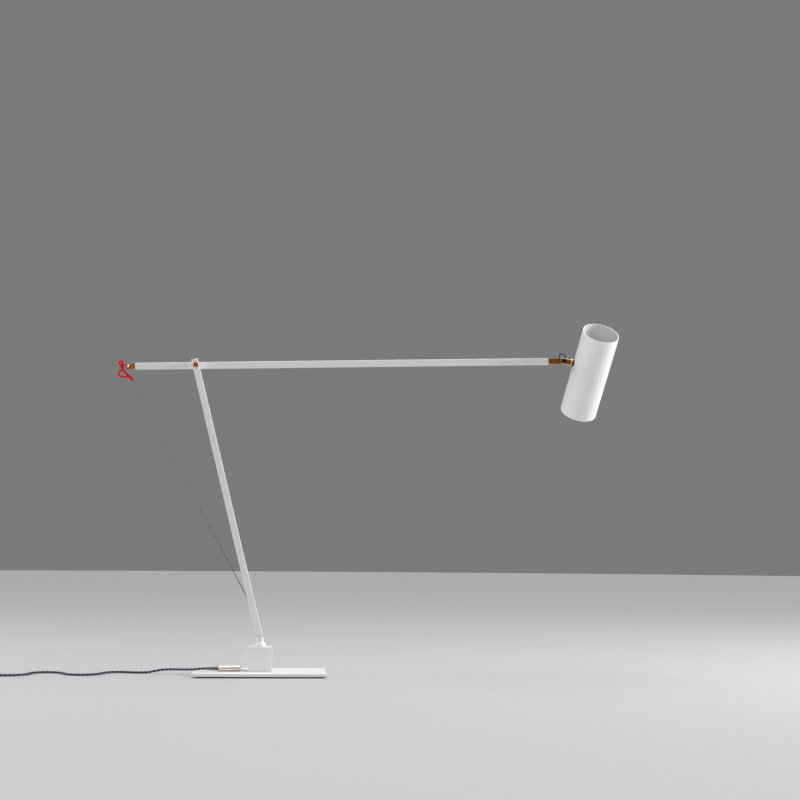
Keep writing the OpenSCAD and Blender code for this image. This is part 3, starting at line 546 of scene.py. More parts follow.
class LampSizes(bpy.types.PropertyGroup):
    plate_corner: size_property("Plate corners", "Radius of the base plate's corners", 0.0015, 0.0005, 0.006)
    plate_edge: size_property("Plate edges", "Easing of the base plate's edges", 0.00045, 0.0001, 0.001)
    block_edge: size_property("Block edges", "Easing of the swivel block's edges", 0.0006, 0.0001, 0.002)
    tube_corner: size_property("Tube corners", "Radius of the square tubes' corners", 0.001, 0.0003, 0.0015)
    rim: size_property("Shade rim", "Rounding of the shade's rims", 0.00045, 0.0001, 0.00055)
    cord_diameter: size_property("Cord", "Diameter of the twisted mains cord", 0.004, 0.0035, 0.004)
    cord_pitch: size_property("Cord lay", "Length of one twist of the cord's cores", 0.013, 0.008, 0.03)
    link_wire: size_property("Link", "Thickness of the red link", 0.0036, 0.0028, 0.004)
    spring_coils: IntProperty(
        name="Spring coils", description="Coils of the balance spring", default=46, min=10, max=80)


def colour_property(name, description, default):
    return FloatVectorProperty(
        name=name, description=description, default=default, size=3, subtype="COLOR", min=0, max=1)


class LampColours(bpy.types.PropertyGroup):
    paint: colour_property("Paint", "Colour of the white coat", (0.83, 0.83, 0.825))
    brass: colour_property("Brass", "Colour of the brass fittings", (0.5, 0.2, 0.036))
    dimmer: colour_property("Dimmer", "Colour of the polished dimmer", (0.72, 0.6, 0.54))
    red: colour_property("Link", "Colour of the link", (0.66, 0.002, 0.005))
    cord: colour_property("Cord", "Colour of the cord's braid", (0.016, 0.022, 0.05))
    fleck: colour_property("Fleck", "Colour of the cord's light threads", (0.2, 0.24, 0.32))
    floor: colour_property("Floor", "Colour of the floor", (0.44, 0.445, 0.45))


finishes = {}


def prepare_finishes(colours):
    if finishes:
        return
    finishes.update(
        paint=powder_coat("white_powder_coat", colours.paint),
        # The shade's inner wall in a darker white: painted shade inside the tube
        inside=powder_coat("inside_painted_shade", shade_of(colours.paint, 0.89)),
        brass=lacquered_brass("lacquered_brass", colours.brass),
        # A lighter brass for the fork's edge rounds and flange: a painted highlight
        bright_brass=lacquered_brass("bright_brass_edge", (0.93, 0.68, 0.36), 0.24),
        dimmer=lacquered_brass("polished_dimmer", colours.dimmer, 0.1),
        steel=plain_steel("plain_steel", (0.55, 0.55, 0.56), 0.32),
        bright_steel=plain_steel("polished_steel", (0.9, 0.87, 0.82), 0.2),
        black_steel=plain_steel("blackened_steel", (0.03, 0.03, 0.032), 0.36),
        alloy=plain_steel("grey_alloy", (0.22, 0.22, 0.23), 0.42),
        mirror=plain_steel("bright_reflector", (0.86, 0.86, 0.87), 0.16),
        wire=stranded_wire((0.3, 0.33, 0.31)),
        rubber=moulded("black_rubber", (0.014, 0.014, 0.016), 0.6, 2200, 0.25),
        grey_rubber=moulded("grey_rubber", (0.12, 0.116, 0.115), 0.55, 2200, 0.2),
        black=moulded("black_plastic", (0.016, 0.016, 0.018), 0.42, 1500, 0.2),
        white_plastic=moulded("white_plastic", (0.8, 0.8, 0.79), 0.45),
        white_cable=moulded("white_cable", (0.82, 0.82, 0.8), 0.5, 900, 0.1, Subsurface_Weight=0.05),
        red=gloss_red(colours.red),
        cord=braided_cord(colours.cord, colours.fleck),
        cover=frosted_cover(),
        board=circuit_board(),
        chip=light_chip(),
    )


class LampOperator:
    """What the operators share: the finishes are ready before their pieces are made."""

    bl_options = {"REGISTER", "UNDO"}

    def execute(self, context):
        prepare_finishes(context.scene.lamp_colours)
        self.make(context.scene.lamp_sizes, context.scene.lamp_colours)
        return {"FINISHED"}


# Stage


class LAMP_OT_stage(LampOperator, bpy.types.Operator):
    """Sets the camera, the floor and the studio lights"""

    bl_idname = "lamp.stage"
    bl_label = "Stage"

    def make(self, sizes, colours):
        self.camera()
        self.floor(colours)
        self.lights()

    def camera(self):
        """The view that was fitted to the photograph's straight edges."""
        place = (0.0164815, -2.609595, 0.202190)
        yaw, pitch, roll = 0.0741111, 0.0835210, 0.00674665
        ahead = Vector((math.sin(yaw) * math.cos(pitch), math.cos(yaw) * math.cos(pitch), math.sin(pitch)))
        level = Vector((math.cos(yaw), -math.sin(yaw), 0))
        rise = level.cross(ahead)
        right = math.cos(roll) * level + math.sin(roll) * rise
        up = math.cos(roll) * rise - math.sin(roll) * level
        lens = bpy.data.cameras.new("camera")
        lens.lens, lens.sensor_width = 76.5, 36
        lens.clip_start, lens.clip_end = 0.05, 60
        camera = bpy.data.objects.new("camera", lens)
        bpy.context.scene.collection.objects.link(camera)
        turn_to = Matrix((right, up, -ahead)).transposed().to_4x4()
        camera.matrix_world = Matrix.Translation(place) @ turn_to
        bpy.context.scene.camera = camera

    def floor(self, colours):
        bm = bmesh.new()
        bmesh.ops.create_circle(bm, cap_ends=True, segments=96, radius=9)
        mesh = to_mesh(bm, "floor")
        bm.free()
        floor = bpy.data.objects.new("floor", mesh)
        mesh.materials.append(pale_floor(colours.floor))
        bpy.context.scene.collection.objects.link(floor)

    def lights(self):
        self.softbox("right", (2.3, -0.25, 1.1), (0.3, 0, 0.4), 1.1, 46)
        self.softbox("left", (-2.2, 0.1, 1.0), (0.1, 0, 0.35), 1.2, 25)
        self.softbox("front", (-0.7, -2.5, 1.7), (0.1, 0, 0.3), 1.6, 14)
        sky = bpy.data.lights.new("overhead", "SUN")
        sky.energy, sky.angle = 2.3, math.radians(46)
        overhead = bpy.data.objects.new("overhead", sky)
        overhead.rotation_euler = (math.radians(-12), math.radians(6), 0)
        bpy.context.scene.collection.objects.link(overhead)
        world = bpy.data.worlds.new("studio")
        world.use_nodes = True
        background = world.node_tree.nodes["Background"].inputs
        background["Color"].default_value = (0.97, 0.985, 1, 1)
        background["Strength"].default_value = 0.2
        bpy.context.scene.world = world
        bpy.context.scene.view_settings.view_transform = "Standard"

    def softbox(self, name, place, aim, size, power):
        light = bpy.data.lights.new(name, "AREA")
        light.shape, light.size, light.energy = "DISK", size, power
        lamp = bpy.data.objects.new(name, light)
        lamp.location = place
        lamp.rotation_euler = (Vector(aim) - Vector(place)).to_track_quat("-Z", "Y").to_euler()
        bpy.context.scene.collection.objects.link(lamp)


# Cord and plug

GLAND_ROOT = Vector((-62, DIMMER_SIDE, 10.7))
GLAND_TIP = Vector((-82, DIMMER_SIDE, 10.7))
# From the strain relief down to the table and on to the coil
CORD_RUN = [
    (-87, -8, 10.5), (-95, -6.5, 9.8), (-102, -3, 9.2), (-111, 6, 8.4), (-119, 16, 7.8),
    (-132.5, 27.5, 7), (-148, 33, 5.9), (-159.5, 32, 4), (-170, 29.5, 2.3), (-185.5, 29.5, 2),
    (-206.5, 38.5, 2), (-223, 36, 2), (-234.5, 20.5, 2), (-245, -8.5, 2), (-264, -18, 2),
    (-287, -6.5, 2), (-299, 20.5, 2), (-313, 32.5, 2), (-330, 30.5, 2), (-343, 15.5, 2),
    (-347, -8.5, 2), (-359.5, -25, 2), (-381, -29, 2),
]
# The stored length is wound in layers round a centre, at a middle radius
COIL_CENTRE_X = -420
COIL_TURNS = 9
COIL_MID = 23
COIL_PITCH = 4.6
COIL_LAYERS = 4


def coil_line(cord):
    """The stored length: wound in and out in layers, climbing a layer where it turns back."""
    in_turn = COIL_TURNS / COIL_LAYERS
    wide = COIL_MID + in_turn * COIL_PITCH / 2
    narrow = COIL_MID - in_turn * COIL_PITCH / 2
    middle = Vector((COIL_CENTRE_X, CORD_RUN[-1][1] + wide, 0))

    def at(turns):
        layer = min(int(turns / in_turn), COIL_LAYERS - 1)
        share = turns / in_turn - layer
        r = wide + share * (narrow - wide) if layer % 2 == 0 else narrow + share * (wide - narrow)
        climb = sum(max(0.0, min(1.0, (turns - k * in_turn + 0.25) / 0.5)) for k in range(1, COIL_LAYERS))
        a = math.radians(-90 - 360 * turns)
        return middle + Vector((r * math.cos(a), r * math.sin(a), cord / 2 + COIL_PITCH * climb))

    steps = 24
    turns = [at(i / steps) for i in range(COIL_TURNS * steps + 1)]
    way_out = (at(COIL_TURNS) - at(COIL_TURNS - 0.02)).normalized()
    lead_in = Vector((COIL_CENTRE_X + cord, middle.y - wide, cord / 2))
    return [lead_in] + turns + [turns[-1] + cord * way_out], middle


# The short end, from the coil's last point to the plug
TAIL_STEPS = [
    (-7, 0.5, -1.5), (-15, 3, -5.5), (-23, 9, -10), (-29, 18, -12.4),
    (-31, 29, -12), (-31, 40, -9), (-31, 50, -7.4), (-31, 58, -7.4),
]


class LAMP_OT_cord(LampOperator, bpy.types.Operator):
    """Lays the mains cord with its stored coil, its tie and its plug"""

    bl_idname = "lamp.cord"
    bl_label = "Mains cord"

    def make(self, sizes, colours):
        cord = mm(sizes.cord_diameter)
        coil, middle = coil_line(cord)
        tail = [coil[-1] + Vector(step) for step in TAIL_STEPS]
        run = eased([GLAND_TIP] + CORD_RUN + [coil[0]], 8)
        end = eased([coil[-1]] + tail, 8)
        line = [Vector((p.x, p.y, max(p.z, cord / 2))) for p in run] + eased(coil, 4)[1:] + end[1:]
        line = stepped(line, step=1.25)
        bm = bmesh.new()
        core, off_middle = cord * 0.262, cord * 0.238
        for phase in (0, math.pi):
            sweep(bm, line, core, 8, off_middle, mm(sizes.cord_pitch), phase)
        piece = set_down(
            bm, "mains_cord", "base", finishes["cord"], ("cord_run", "cord_coil", "cord_tail"),
            sharp=80)
        plug, pins = self.plug(tail[-1])
        tie = self.tie(middle, cord)
        gland = self.gland(cord)

    def gland(self, cord):
        """The tapered strain relief, ribbed so that it bends evenly."""
        length = GLAND_ROOT.x - GLAND_TIP.x
        root, tip = 3, cord / 2 + 0.2
        collar, groove, ribs = 2.4, 0.45, 6
        profile = [(0, 0), (root, 0), (root, collar)]
        step = (length - collar - 1) / ribs
        for k in range(ribs):
            a = collar + k * step
            r = root + (tip - root) * (a / length) ** 0.8
            profile += [
                (r - groove, a + 0.12), (r - groove, a + step * 0.42),
                (r - 0.05, a + step * 0.54), (r - 0.12, a + step),
            ]
        profile += [(tip, length - 0.3), (tip - 0.25, length), (0, length)]
        bm = turn(bmesh.new(), profile, 40, Matrix.Translation(GLAND_ROOT) @ turned(-90, "Y"))
        return set_down(bm, "strain_relief", "base", finishes["grey_rubber"], ("cord_gland",))

    def tie(self, middle, cord):
        """A soft strap round the stored turns."""
        half, wall = 5, 1
        across = COIL_TURNS / COIL_LAYERS * COIL_PITCH + cord + 1.4
        high = (COIL_LAYERS - 1) * COIL_PITCH + cord
        x, y = middle.x, middle.y + COIL_MID
        bm = bmesh.new()
        block(bm, (x - half, y - across / 2 - wall, 0), (x + half, y + across / 2 + wall, high + 1.8))
        soften(bm, 2.2, 5, where=along("X"))
        hole = bmesh.new()
        block(hole, (x - half - 1, y - across / 2, 0.6), (x + half + 1, y + across / 2, high + 0.8))
        soften(hole, 1.5, 4, where=along("X"))
        bm = soften(cut(bm, hole), 0.25, 2, 50)
        return set_down(bm, "coil_strap", "base", finishes["rubber"], ("coil_tie",))

    def plug(self, at):
        """A flat two-pin plug with a ribbed grip."""
        place = Matrix.Translation(at)
        edge = [(7, 14), (8, 22), (16, 27), (17.5, 31), (17.5, 46)]
        outline = [(-7, 14), *edge, *[(-x, y) for x, y in edge[:0:-1]]]
        bm = slab(bmesh.new(), outline, -6.5, 6.5, "Z")
        soften(bm, 1.6, 4, 20, where=along("Z"))
        soften(bm, 1.1, 3, 50)
        grooves = bmesh.new()
        for side in (-1, 1):
            for y in (33, 36.4, 39.8):
                block(grooves, (side * 18.2 - 1.4, y, -8), (side * 18.2 + 1.4, y + 1.5, 8))
        bm = cut(bm, grooves)
        neck = [(0, 0), (2.7, 0), (2.9, 1)]
        for k in range(4):  # the neck's ribs, each wider than the last
            a, r = 2 + k * 3, 2.9 + k * 0.32
            neck += [(r - 0.5, a), (r - 0.4, a + 1.2), (r + 0.2, a + 1.5), (r + 0.25, a + 2.8)]
        neck += [(4.2, 14.6), (0, 14.6)]
        add(bm, turn(bmesh.new(), neck, 32, turned(-90, "X")))
        body = set_down(bm, "plug_housing", "base", finishes["black"], ("plug_body",), place)
        pins = bmesh.new()
        profile = [(0, 0), (2, 0), (2, 9), (1.93, 9.1), (1.95, 18.2), (1.2, 19), (0, 19)]
        for x in (-9.3, 9.3):
            add(pins, turn(bmesh.new(), profile, 28, Matrix.Translation((x, 45.9, 0)) @ turned(-90, "X")))
        pins = set_down(pins, "plug_pins_pair", "base", finishes["steel"], ("plug_pins",), place)
        return body, pins


# Base


class LAMP_OT_base(LampOperator, bpy.types.Operator):
    """Builds the base plate, its pad, the swivel block and the screws"""

    bl_idname = "lamp.base"
    bl_label = "Base"

    def make(self, sizes, colours):
        low, high = (1000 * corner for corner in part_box("base_plate"))
        bm = bmesh.new()
        block(bm, low, high)
        soften(bm, mm(sizes.plate_corner), 5, where=along("Z"))
        soften(bm, mm(sizes.plate_edge), 3, 60)
        set_down(bm, "plate", "base", finishes["paint"], ("base_plate",))
        dress("base_pad", "base", finishes["rubber"], 0.3, 2, 60)
        self.block(sizes)
        coat("block_screws", finishes["steel"])

    def block(self, sizes):
        low, high = (1000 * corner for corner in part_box("socket_block"))
        bm = bmesh.new()
        block(bm, low, high)
        soften(bm, mm(sizes.block_edge), 3)
        bm = drilled(bm, 20, (0, 0, low.z - 1), (0, 0, low.z + 18), 64)
        bm = drilled(bm, 12.1, (0, 0, low.z + 4), (0, 0, high.z + 1), 64)
        bm = drilled(bm, 4, (low.x - 1, DIMMER_SIDE, 8.1), (-6, DIMMER_SIDE, 8.1))
        set_down(bm, "block", "base", finishes["paint"], ("socket_block",))


class LAMP_OT_dimmer(LampOperator, bpy.types.Operator):
    """Builds the brass dimmer, its button and the white lead into the block"""

    bl_idname = "lamp.dimmer"
    bl_label = "Dimmer"

    def make(self, sizes, colours):
        low, high = (1000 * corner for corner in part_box("dimmer_body"))
        radius, length = (high.y - low.y) / 2, high.x - low.x
        axis = Vector((low.x, (low.y + high.y) / 2, high.z - radius))
        profile = [
            (0, 0.5), (radius - 2.2, 0.5), (radius - 1.9, 0), (radius - 1.1, 0), (radius - 0.9, 0.12),
            (radius - 0.1, 0.92), (radius, 1.1), (radius, length - 1.1), (radius - 0.1, length - 0.92),
            (radius - 0.9, length - 0.12), (radius - 1.1, length), (radius - 1.9, length),
            (radius - 2.2, length - 0.5), (0, length - 0.5),
        ]
        bm = turn(bmesh.new(), profile, 72, Matrix.Translation(axis) @ turned(90, "Y"))
        flat = bmesh.ops.bisect_plane(
            bm, geom=bm.verts[:] + bm.edges[:] + bm.faces[:], plane_co=(0, 0, low.z), plane_no=(0, 0, -1),
            clear_outer=True)
        rim = [e for e in flat["geom_cut"] if isinstance(e, bmesh.types.BMEdge)]
        bmesh.ops.holes_fill(bm, edges=rim)
        middle = Vector((axis.x + length / 2, axis.y, axis.z))
        bm = drilled(bm, 3.1, middle, middle + Vector((0, 0, radius + 1)), 40)
        set_down(bm, "dimmer_case", "base", finishes["dimmer"], ("dimmer_body",))
        self.button(middle, radius)
        self.lead(high.x)
        coat("dimmer_board", finishes["board"])

    def button(self, middle, radius):
        """The button in the case's top, with a shallow dish."""
        top = radius + 1
        profile = [
            (0, top - 0.25), (0.55, top - 0.2), (0.85, top), (1.15, top - 0.04), (1.42, top - 0.28),
            (1.5, top - 0.6), (1.5, 2), (2.1, 2), (2.1, 1.6), (0, 1.6),
        ]
        bm = turn(bmesh.new(), profile, 40, Matrix.Translation(middle))
        set_down(bm, "push_button", "button", finishes["dimmer"], ("dimmer_button",))

    def lead(self, case_end):
        """The cable from the case, down to the plate and into the block."""
        block_face, plate_top, radius, outlet = -18.25, 6.5, 1.5, 9.1
        level = plate_top + radius + 0.1
        gap = block_face - case_end
        points = [
            (x, DIMMER_SIDE, z) for x, z in (
                (case_end - 5, outlet), (case_end + 0.5, outlet), (case_end + 0.4 * gap, level + 0.4),
                (block_face - 0.25 * gap, level), (block_face + 3, level), (block_face + 10, level),
            )
        ]
        bm = sweep(bmesh.new(), eased(points, 6), radius, 24)
        set_down(bm, "white_lead", "base", finishes["white_cable"], ("base_lead",))


# Swivel and post


class LAMP_OT_swivel(LampOperator, bpy.types.Operator):
    """Builds the turned swivel with its neck, fork and tilt pin"""

    bl_idname = "lamp.swivel"
    bl_label = "Swivel"

    def make(self, sizes, colours):
        dress("swivel_stem", "swivel", finishes["paint"], 0.25, 3, 50)
        dress("thrust_washer", "swivel", finishes["white_plastic"], 0.12)
        dress("knuckle_pin", "swivel", finishes["paint"], 0.3, 3)
        for node in ("wave_washer", "swivel_nut"):
            coat(node, finishes["steel"])


class LAMP_OT_post(LampOperator, bpy.types.Operator):
    """Builds the leaning post with its cap, pivot hardware, spring and slider"""

    bl_idname = "lamp.post"
    bl_label = "Post"

    def make(self, sizes, colours):
        self.tube(sizes)
        dress("post_knuckle", "post", finishes["steel"], 0.2)
        dress("post_cap", "post", finishes["brass"], 0.3, 3)
        dress("pivot_bolt", "post", finishes["brass"], 0.1, 2, 25)
        dress("pivot_washer", "post", finishes["brass"], 0.12)
        dress("pivot_nut", "post", finishes["brass"], 0.3, 3)
        for node in ("pivot_spring_washer", "post_grub_screws", "spring_stop_pin"):
            coat(node, finishes["steel"])
        coat("post_lead", finishes["rubber"])
        dress("wire_slider", "slider", finishes["brass"], 0.2)
        self.spring(sizes)

    def tube(self, sizes):
        """The square tube, open inside, with its slot and its bores."""
        foot, top = 5.4, 439.2
        bm = bmesh.new()
        block(bm, (-TUBE_HALF, -TUBE_HALF, foot), (TUBE_HALF, TUBE_HALF, top))
        soften(bm, mm(sizes.tube_corner), 4, where=along("Z"))
        hollow = bmesh.new()
        block(hollow, (-BORE_HALF, -BORE_HALF, 0), (BORE_HALF, BORE_HALF, 445))
        bm = cut(bm, hollow)
        # The slot in the back wall that the tie wire runs in
        slot_low, slot_high = 45.2, 121.3
        slot = bmesh.new()
        block(slot, (-6, 0.85, slot_low), (-3, 3.15, slot_high))
        soften(slot, 1.1, 4, where=along("X"))
        bm = cut(bm, slot)
        # The pivot's bore, the grub screw's hole in one wall and the stop pin's bore
        bm = drilled(bm, 5.04, (0, -8, POST_REACH), (0, 8, POST_REACH))
        bm = drilled(bm, 2.54, (0, 0, 13), (0, 8, 13))
        bm = drilled(bm, 2.54, (-8, 1.2, 204.75), (8, 1.2, 204.75))
        set_down(bm, "post_square_tube", "post", finishes["paint"], ("post_tube",), POST)

    def spring(self, sizes):
        """The balance spring as a wound wire between two fixed heights."""
        low, high, radius, wire = 85.5, 203.5, 2.05, 0.42
        steps, last = 14, 14 * sizes.spring_coils
        line = []
        for i in range(last + 1):
            a = 2 * math.pi * i / steps
            height = low + 0.5 + (high - low - 1) * i / last
            line.append(Vector((-0.2 + radius * math.cos(a), 1.2 + radius * math.sin(a), height)))
        bm = sweep(bmesh.new(), line, wire, 6)
        piece = set_down(bm, "balance_spring", "post", finishes["steel"], ("counter_spring",), POST)
        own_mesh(piece)


# Arm and tie


class LAMP_OT_arm(LampOperator, bpy.types.Operator):
    """Builds the long arm with its brass fittings"""

    bl_idname = "lamp.arm"
    bl_label = "Arm"

    def make(self, sizes, colours):
        bm = bmesh.new()
        block(bm, (-ARM_TAIL, -TUBE_HALF, -TUBE_HALF), (ARM_HEAD, TUBE_HALF, TUBE_HALF))
        soften(bm, mm(sizes.tube_corner), 4, where=along("X"))
        hollow = bmesh.new()
        block(hollow, (-ARM_TAIL - 5, -BORE_HALF, -BORE_HALF), (ARM_HEAD + 5, BORE_HALF, BORE_HALF))
        bm = drilled(cut(bm, hollow), 7.04, (0, -8, 0), (0, 8, 0), 40)
        set_down(bm, "arm_square_tube", "arm", finishes["paint"], ("arm_tube",), ARM)
        dress("arm_bush", "arm", finishes["brass"], 0.1)
        coat("arm_lead", finishes["rubber"])
        dress("head_plug", "arm", finishes["brass"], 0.4, 3)
        dress("tail_plug", "arm", finishes["brass"], 0.35, 3)
        self.tail_screw()

    def tail_screw(self):
        """The screw that holds the red link, with a domed and polished head."""
        at = ARM @ Matrix.Translation((TAIL_PIN.x, 0, TAIL_PIN.z))
        profile = [
            (0, -11.9), (0.7, -11.85), (1.25, -11.66), (1.62, -11.38), (1.84, -11.08), (1.9, -10.9),
            (1.1, -10.9), (1.1, 1.9), (0, 1.9),
        ]
        bm = turn(bmesh.new(), profile, 40, at @ turned(-90, "X"))
        set_down(bm, "domed_screw", "arm", finishes["bright_steel"], ("tail_screw",))


# The link's points are seen from its pivot; its wire ends in the ferrule
LINK_END = Vector((-WIRE_SIDE, 0, -22.5))


def link_loop(*degrees):
    """Points of the link's upper loop, at angles."""
    return [
        (-7 + 2.9 * math.cos(math.radians(a)), 0, 9.4 + 2.9 * math.sin(math.radians(a)))
        for a in range(*degrees)
    ]


# From the pivot under the loop and up its far side
LINK_BRANCH = [(-0.6, 0, 1.2), (-1.9, 0, 3.2), (-3.8, 0, 4.9), *link_loop(285, 84, -20)]
# Over the loop's top, down across the waist, round the eye and into the ferrule
LINK_MAIN = [
    *link_loop(105, -36, -20),
    (-5.6, 0, 6), (-6.7, 0, 4.2), (-8.3, 0, 2.4), (-10.2, 0, 0.7), (-12.4, 0, -0.6), (-15, 0, -1.5),
    (-17.9, 0, -2.6), (-19.1, 0, -4.4), (-18.3, 0, -6.7), (-16.8, 0, -8.8), (-14.6, 0, -10.9),
    (-11.9, 0, -12.5), (-9.4, 0, -13.2), (-7.5, 0, -14.1), (-6.2, 0, -15.9), (-5, 0, -18.4),
    LINK_END + Vector((0, 0, 1.5)), LINK_END,
]
# The end that is laid back along it, from the loop to the ferrule
LINK_SIDE = [
    (-8.8, 0, 7.3), (-9.5, 0, 5.4), (-9.9, 0, 3.4), (-9.9, 0, 1.2), (-9.6, 0, -1.4), (-9.1, 0, -4),
    (-8.2, 0, -7.1), (-7.1, 0, -10.3), (-5.9, 0, -13.5), (-4.5, 0, -16.8), (-3.5, 0, -19.4),
    LINK_END + Vector((0.5, 0, 1)),
]


class LAMP_OT_tie(LampOperator, bpy.types.Operator):
    """Builds the red link, its ferrule and the tie wire"""

    bl_idname = "lamp.tie"
    bl_label = "Tie"

    def make(self, sizes, colours):
        half = mm(sizes.link_wire) / 2
        bm = sweep(bmesh.new(), eased(LINK_MAIN, 4), half, 20)
        sweep(bm, eased(LINK_BRANCH, 4), half - 0.1, 20)
        sweep(bm, eased(LINK_SIDE, 4), half - 0.15, 20)
        hole, shoulder, rim = 1.15, 2.2, 2.6
        eye = [
            (hole, -half), (shoulder, -half), (rim, -half + 0.4), (rim, half - 0.4),
            (shoulder, half), (hole, half), (hole, -half),
        ]
        add(bm, turn(bmesh.new(), eye, 40, turned(90, "X")))
        set_down(bm, "bent_link", "tie", finishes["red"], ("red_link",), TIE, sharp=60)
        dress("wire_ferrule", "tie", finishes["alloy"], 0.25, 3)
        steps = 120
        start, end = Vector((-WIRE_SIDE, 0, LINK_END.z - 2.5)), Vector((-WIRE_SIDE, 0, -TIE_LENGTH))
        line = [start.lerp(end, i / steps) for i in range(steps + 1)]
        bm = sweep(bmesh.new(), line, radius=0.7, sides=12)
        set_down(bm, "stranded_tie", "tie", finishes["wire"], ("tie_wire",), TIE, sharp=80)


# Head and shade


class LAMP_OT_head(LampOperator, bpy.types.Operator):
    """Builds the brass head joint with its screw and the black lead over it"""

    bl_idname = "lamp.head"
    bl_label = "Head joint"

    def make(self, sizes, colours):
        self.fork()
        dress("tilt_screw", "head", finishes["black_steel"], 0.2, 3, 25)
        dress("tilt_nut", "head", finishes["black_steel"], 0.25, 3)
        dress("neck_nut", "head", finishes["steel"], 0.25, 2)
        self.loop()

    def fork(self):
        """The brass fork, with its outer edge rounds and its flange in a lighter brass as a painted
        highlight.
        """
        half, back, front = 4.5, 6.4, 10.81
        slot_half, slot_end, beyond = 1.85, 4.9, 20
        side, steps = math.asin(half / back), 8
        outline = [
            (-back * math.cos(side * (1 - k / steps)), back * math.sin(side * (1 - k / steps)))
            for k in range(2 * steps + 1)
        ]
        bm = slab(bmesh.new(), outline + [(front, -half), (front, half)], -half, half)

        def on_side(e):
            on_face = all(abs(v.co.y) > half - 0.01 for v in e.verts)
            return on_face and min(v.co.x for v in e.verts) < front - 0.1

        soften(bm, 0.9, 4, 32, on_side)
        slot = bmesh.new()
        block(slot, (-beyond, -slot_half, -beyond), (slot_end, slot_half, beyond))
        bm = drilled(cut(bm, slot), 3.04, (0, -beyond, 0), (0, beyond, 0), 40)
        bm = drilled(bm, 3, (slot_end - 1, 0, 0), (beyond, 0, 0), 40)
        # The rounds on the fork's sides take the lighter brass, a painted highlight
        for face in bm.faces:
            if abs(face.calc_center_median().y) > half - 1 and max(abs(n) for n in face.normal) < 0.99:
                face.material_index = 1
        flange = [
            (1.5, 10.8), (5.95, 10.8), (6.12, 10.88), (6.2, 11.05), (6.2, 12.05), (6.12, 12.22), (5.95, 12.3),
            (3, 12.3), (3, 21.85), (2.6, 22.25), (1.5, 22.25), (1.5, 10.8),
        ]
        ring = turn(bmesh.new(), flange, 64, turned(90, "Y"))
        # The whole flange takes the lighter brass, a painted highlight
        for face in ring.faces:
            face.material_index = 1
        piece = set_down(
            add(bm, ring), "fork", "head", finishes["brass"], ("head_fork",), FORK,
            sharp=30, hollow=True)
        piece.data.materials.append(finishes["bright_brass"])

    def loop(self):
        """The lead over the joint, an arc between the arm's end and the head."""
        foot, top, reach, thick = 4.5, 7.8, 4.6, 0.8
        rise = top - reach - thick
        points = [(-reach, 0, foot - 1), (-reach, 0, foot + 0.6)]
        points += [
            (-reach * math.cos(math.radians(a)), 0, foot + rise + reach * math.sin(math.radians(a)))
            for a in range(0, 181, 15)
        ]
        points += [(reach, 0, foot + 0.9), (reach, 0, foot + 0.3)]
        at = ARM @ Matrix.Translation((ARM_HEAD + HEAD_REACH - 2.9, -3.175, 0))
        bm = sweep(bmesh.new(), eased(points, 4), thick, 16)
        piece = set_down(bm, "bridging_lead", None, finishes["rubber"], ("lead_loop",), at)
        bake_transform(piece)


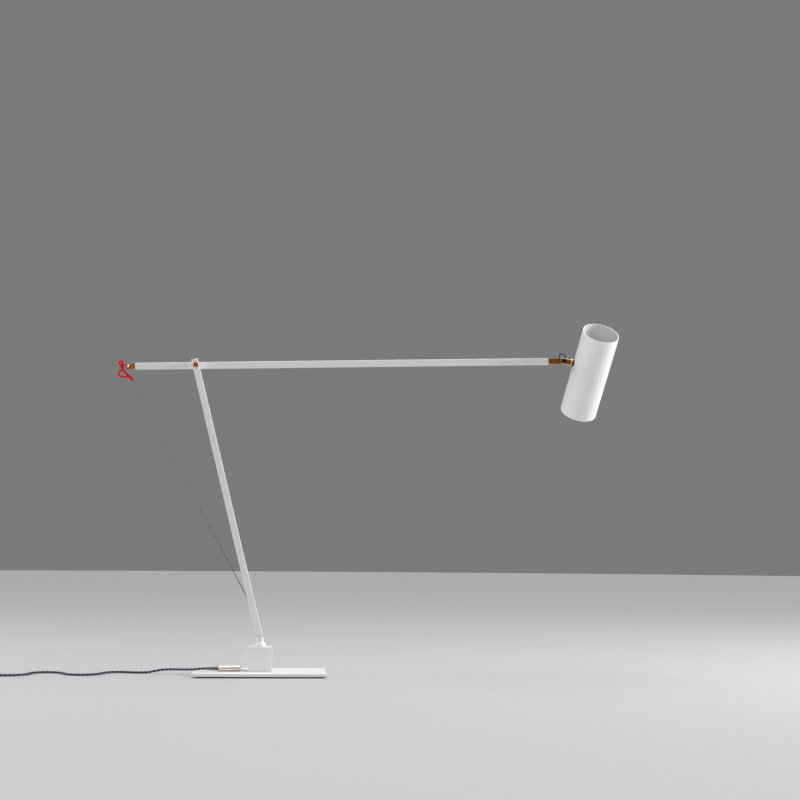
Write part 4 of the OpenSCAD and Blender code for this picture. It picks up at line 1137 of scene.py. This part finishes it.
class LAMP_OT_shade(LampOperator, bpy.types.Operator):
    """Builds the tube shade, its seats and the light unit inside"""

    bl_idname = "lamp.shade"
    bl_label = "Shade"

    def make(self, sizes, colours):
        outer, inner, low, high = 28.67, 27.55, -84.97, 60.97
        rim, ease = mm(sizes.rim), 0.12
        profile = [
            (outer, low + rim), (outer, high - rim), (outer - ease, high - ease), (outer - rim, high),
            (inner + rim, high), (inner + ease, high - ease), (inner, high - rim), (inner, low + rim),
            (inner + ease, low + ease), (inner + rim, low), (outer - rim, low), (outer - ease, low + ease),
            (outer, low + rim),
        ]
        bm = turn(bmesh.new(), profile, 128)
        # Faces of the inner wall take the darker white, as painted shade inside the tube
        for face in bm.faces:
            if face.calc_center_median().xy.length < inner + 0.1:
                face.material_index = 1
        shell = set_down(bm, "shade_shell", "shade", finishes["paint"], ("shade_tube",), SHADE)
        shell.data.materials.append(finishes["inside"])
        dress("saddle_ring", "shade", finishes["black"], 0.2, 3, 50)
        dress("inner_saddle", "shade", finishes["black"], 0.15)
        dress("heat_sink", "shade", finishes["alloy"], 0.25, 2, 50)
        dress("retaining_ring", "shade", finishes["white_plastic"], 0.3, 3)
        dress("diffuser", "shade", finishes["cover"], 0.3, 3)
        coat("reflector", finishes["mirror"])
        coat("led_board", finishes["board"])
        coat("led_chip", finishes["chip"])
        self.lead()

    def lead(self):
        """The lead from the fork's spigot down through the heat sink to the light board."""
        spigot_end, sink_top = -21.95, -35.8 + 22
        bend = [
            (spigot_end + 0.25, 0, 0), (spigot_end + 4, 0, 0), (-9, 0, -1), (-3, 0, -4), (0, 0, -9),
            (0, 0, sink_top),
        ]
        points = eased(bend, 6) + [Vector((0, 0, -29.8)), Vector((0, 0, -34.8))]
        bm = sweep(bmesh.new(), points, radius=1, sides=16)
        set_down(bm, "inside_lead", "shade", finishes["rubber"], ("head_lead",), SHADE)


# Panel and registration


class LAMP_PT_panel(bpy.types.Panel):
    """Sizes, colours and the pieces, in the order they are made"""

    bl_idname = "LAMP_PT_panel"
    bl_label = "Table lamp"
    bl_space_type = "VIEW_3D"
    bl_region_type = "UI"
    bl_category = "Lamp"

    def draw(self, context):
        for group in (context.scene.lamp_sizes, context.scene.lamp_colours):
            box = self.layout.box()
            for name in group.__annotations__:
                box.prop(group, name)
        for operator in PIECES:
            self.layout.operator(operator.bl_idname)


PIECES = (
    LAMP_OT_stage, LAMP_OT_cord, LAMP_OT_base, LAMP_OT_dimmer, LAMP_OT_swivel, LAMP_OT_post,
    LAMP_OT_arm, LAMP_OT_tie, LAMP_OT_head, LAMP_OT_shade,
)
CLASSES = (LampSizes, LampColours, *PIECES, LAMP_PT_panel)


def register():
    for cls in CLASSES:
        bpy.utils.register_class(cls)
    bpy.types.Scene.lamp_sizes = PointerProperty(type=LampSizes)
    bpy.types.Scene.lamp_colours = PointerProperty(type=LampColours)


def unregister():
    del bpy.types.Scene.lamp_colours
    del bpy.types.Scene.lamp_sizes
    for cls in reversed(CLASSES):
        bpy.utils.unregister_class(cls)


def main():
    register()
    for operator in PIECES:
        group, name = operator.bl_idname.split(".")
        getattr(getattr(bpy.ops, group), name)()


if __name__ == "__main__":
    main()
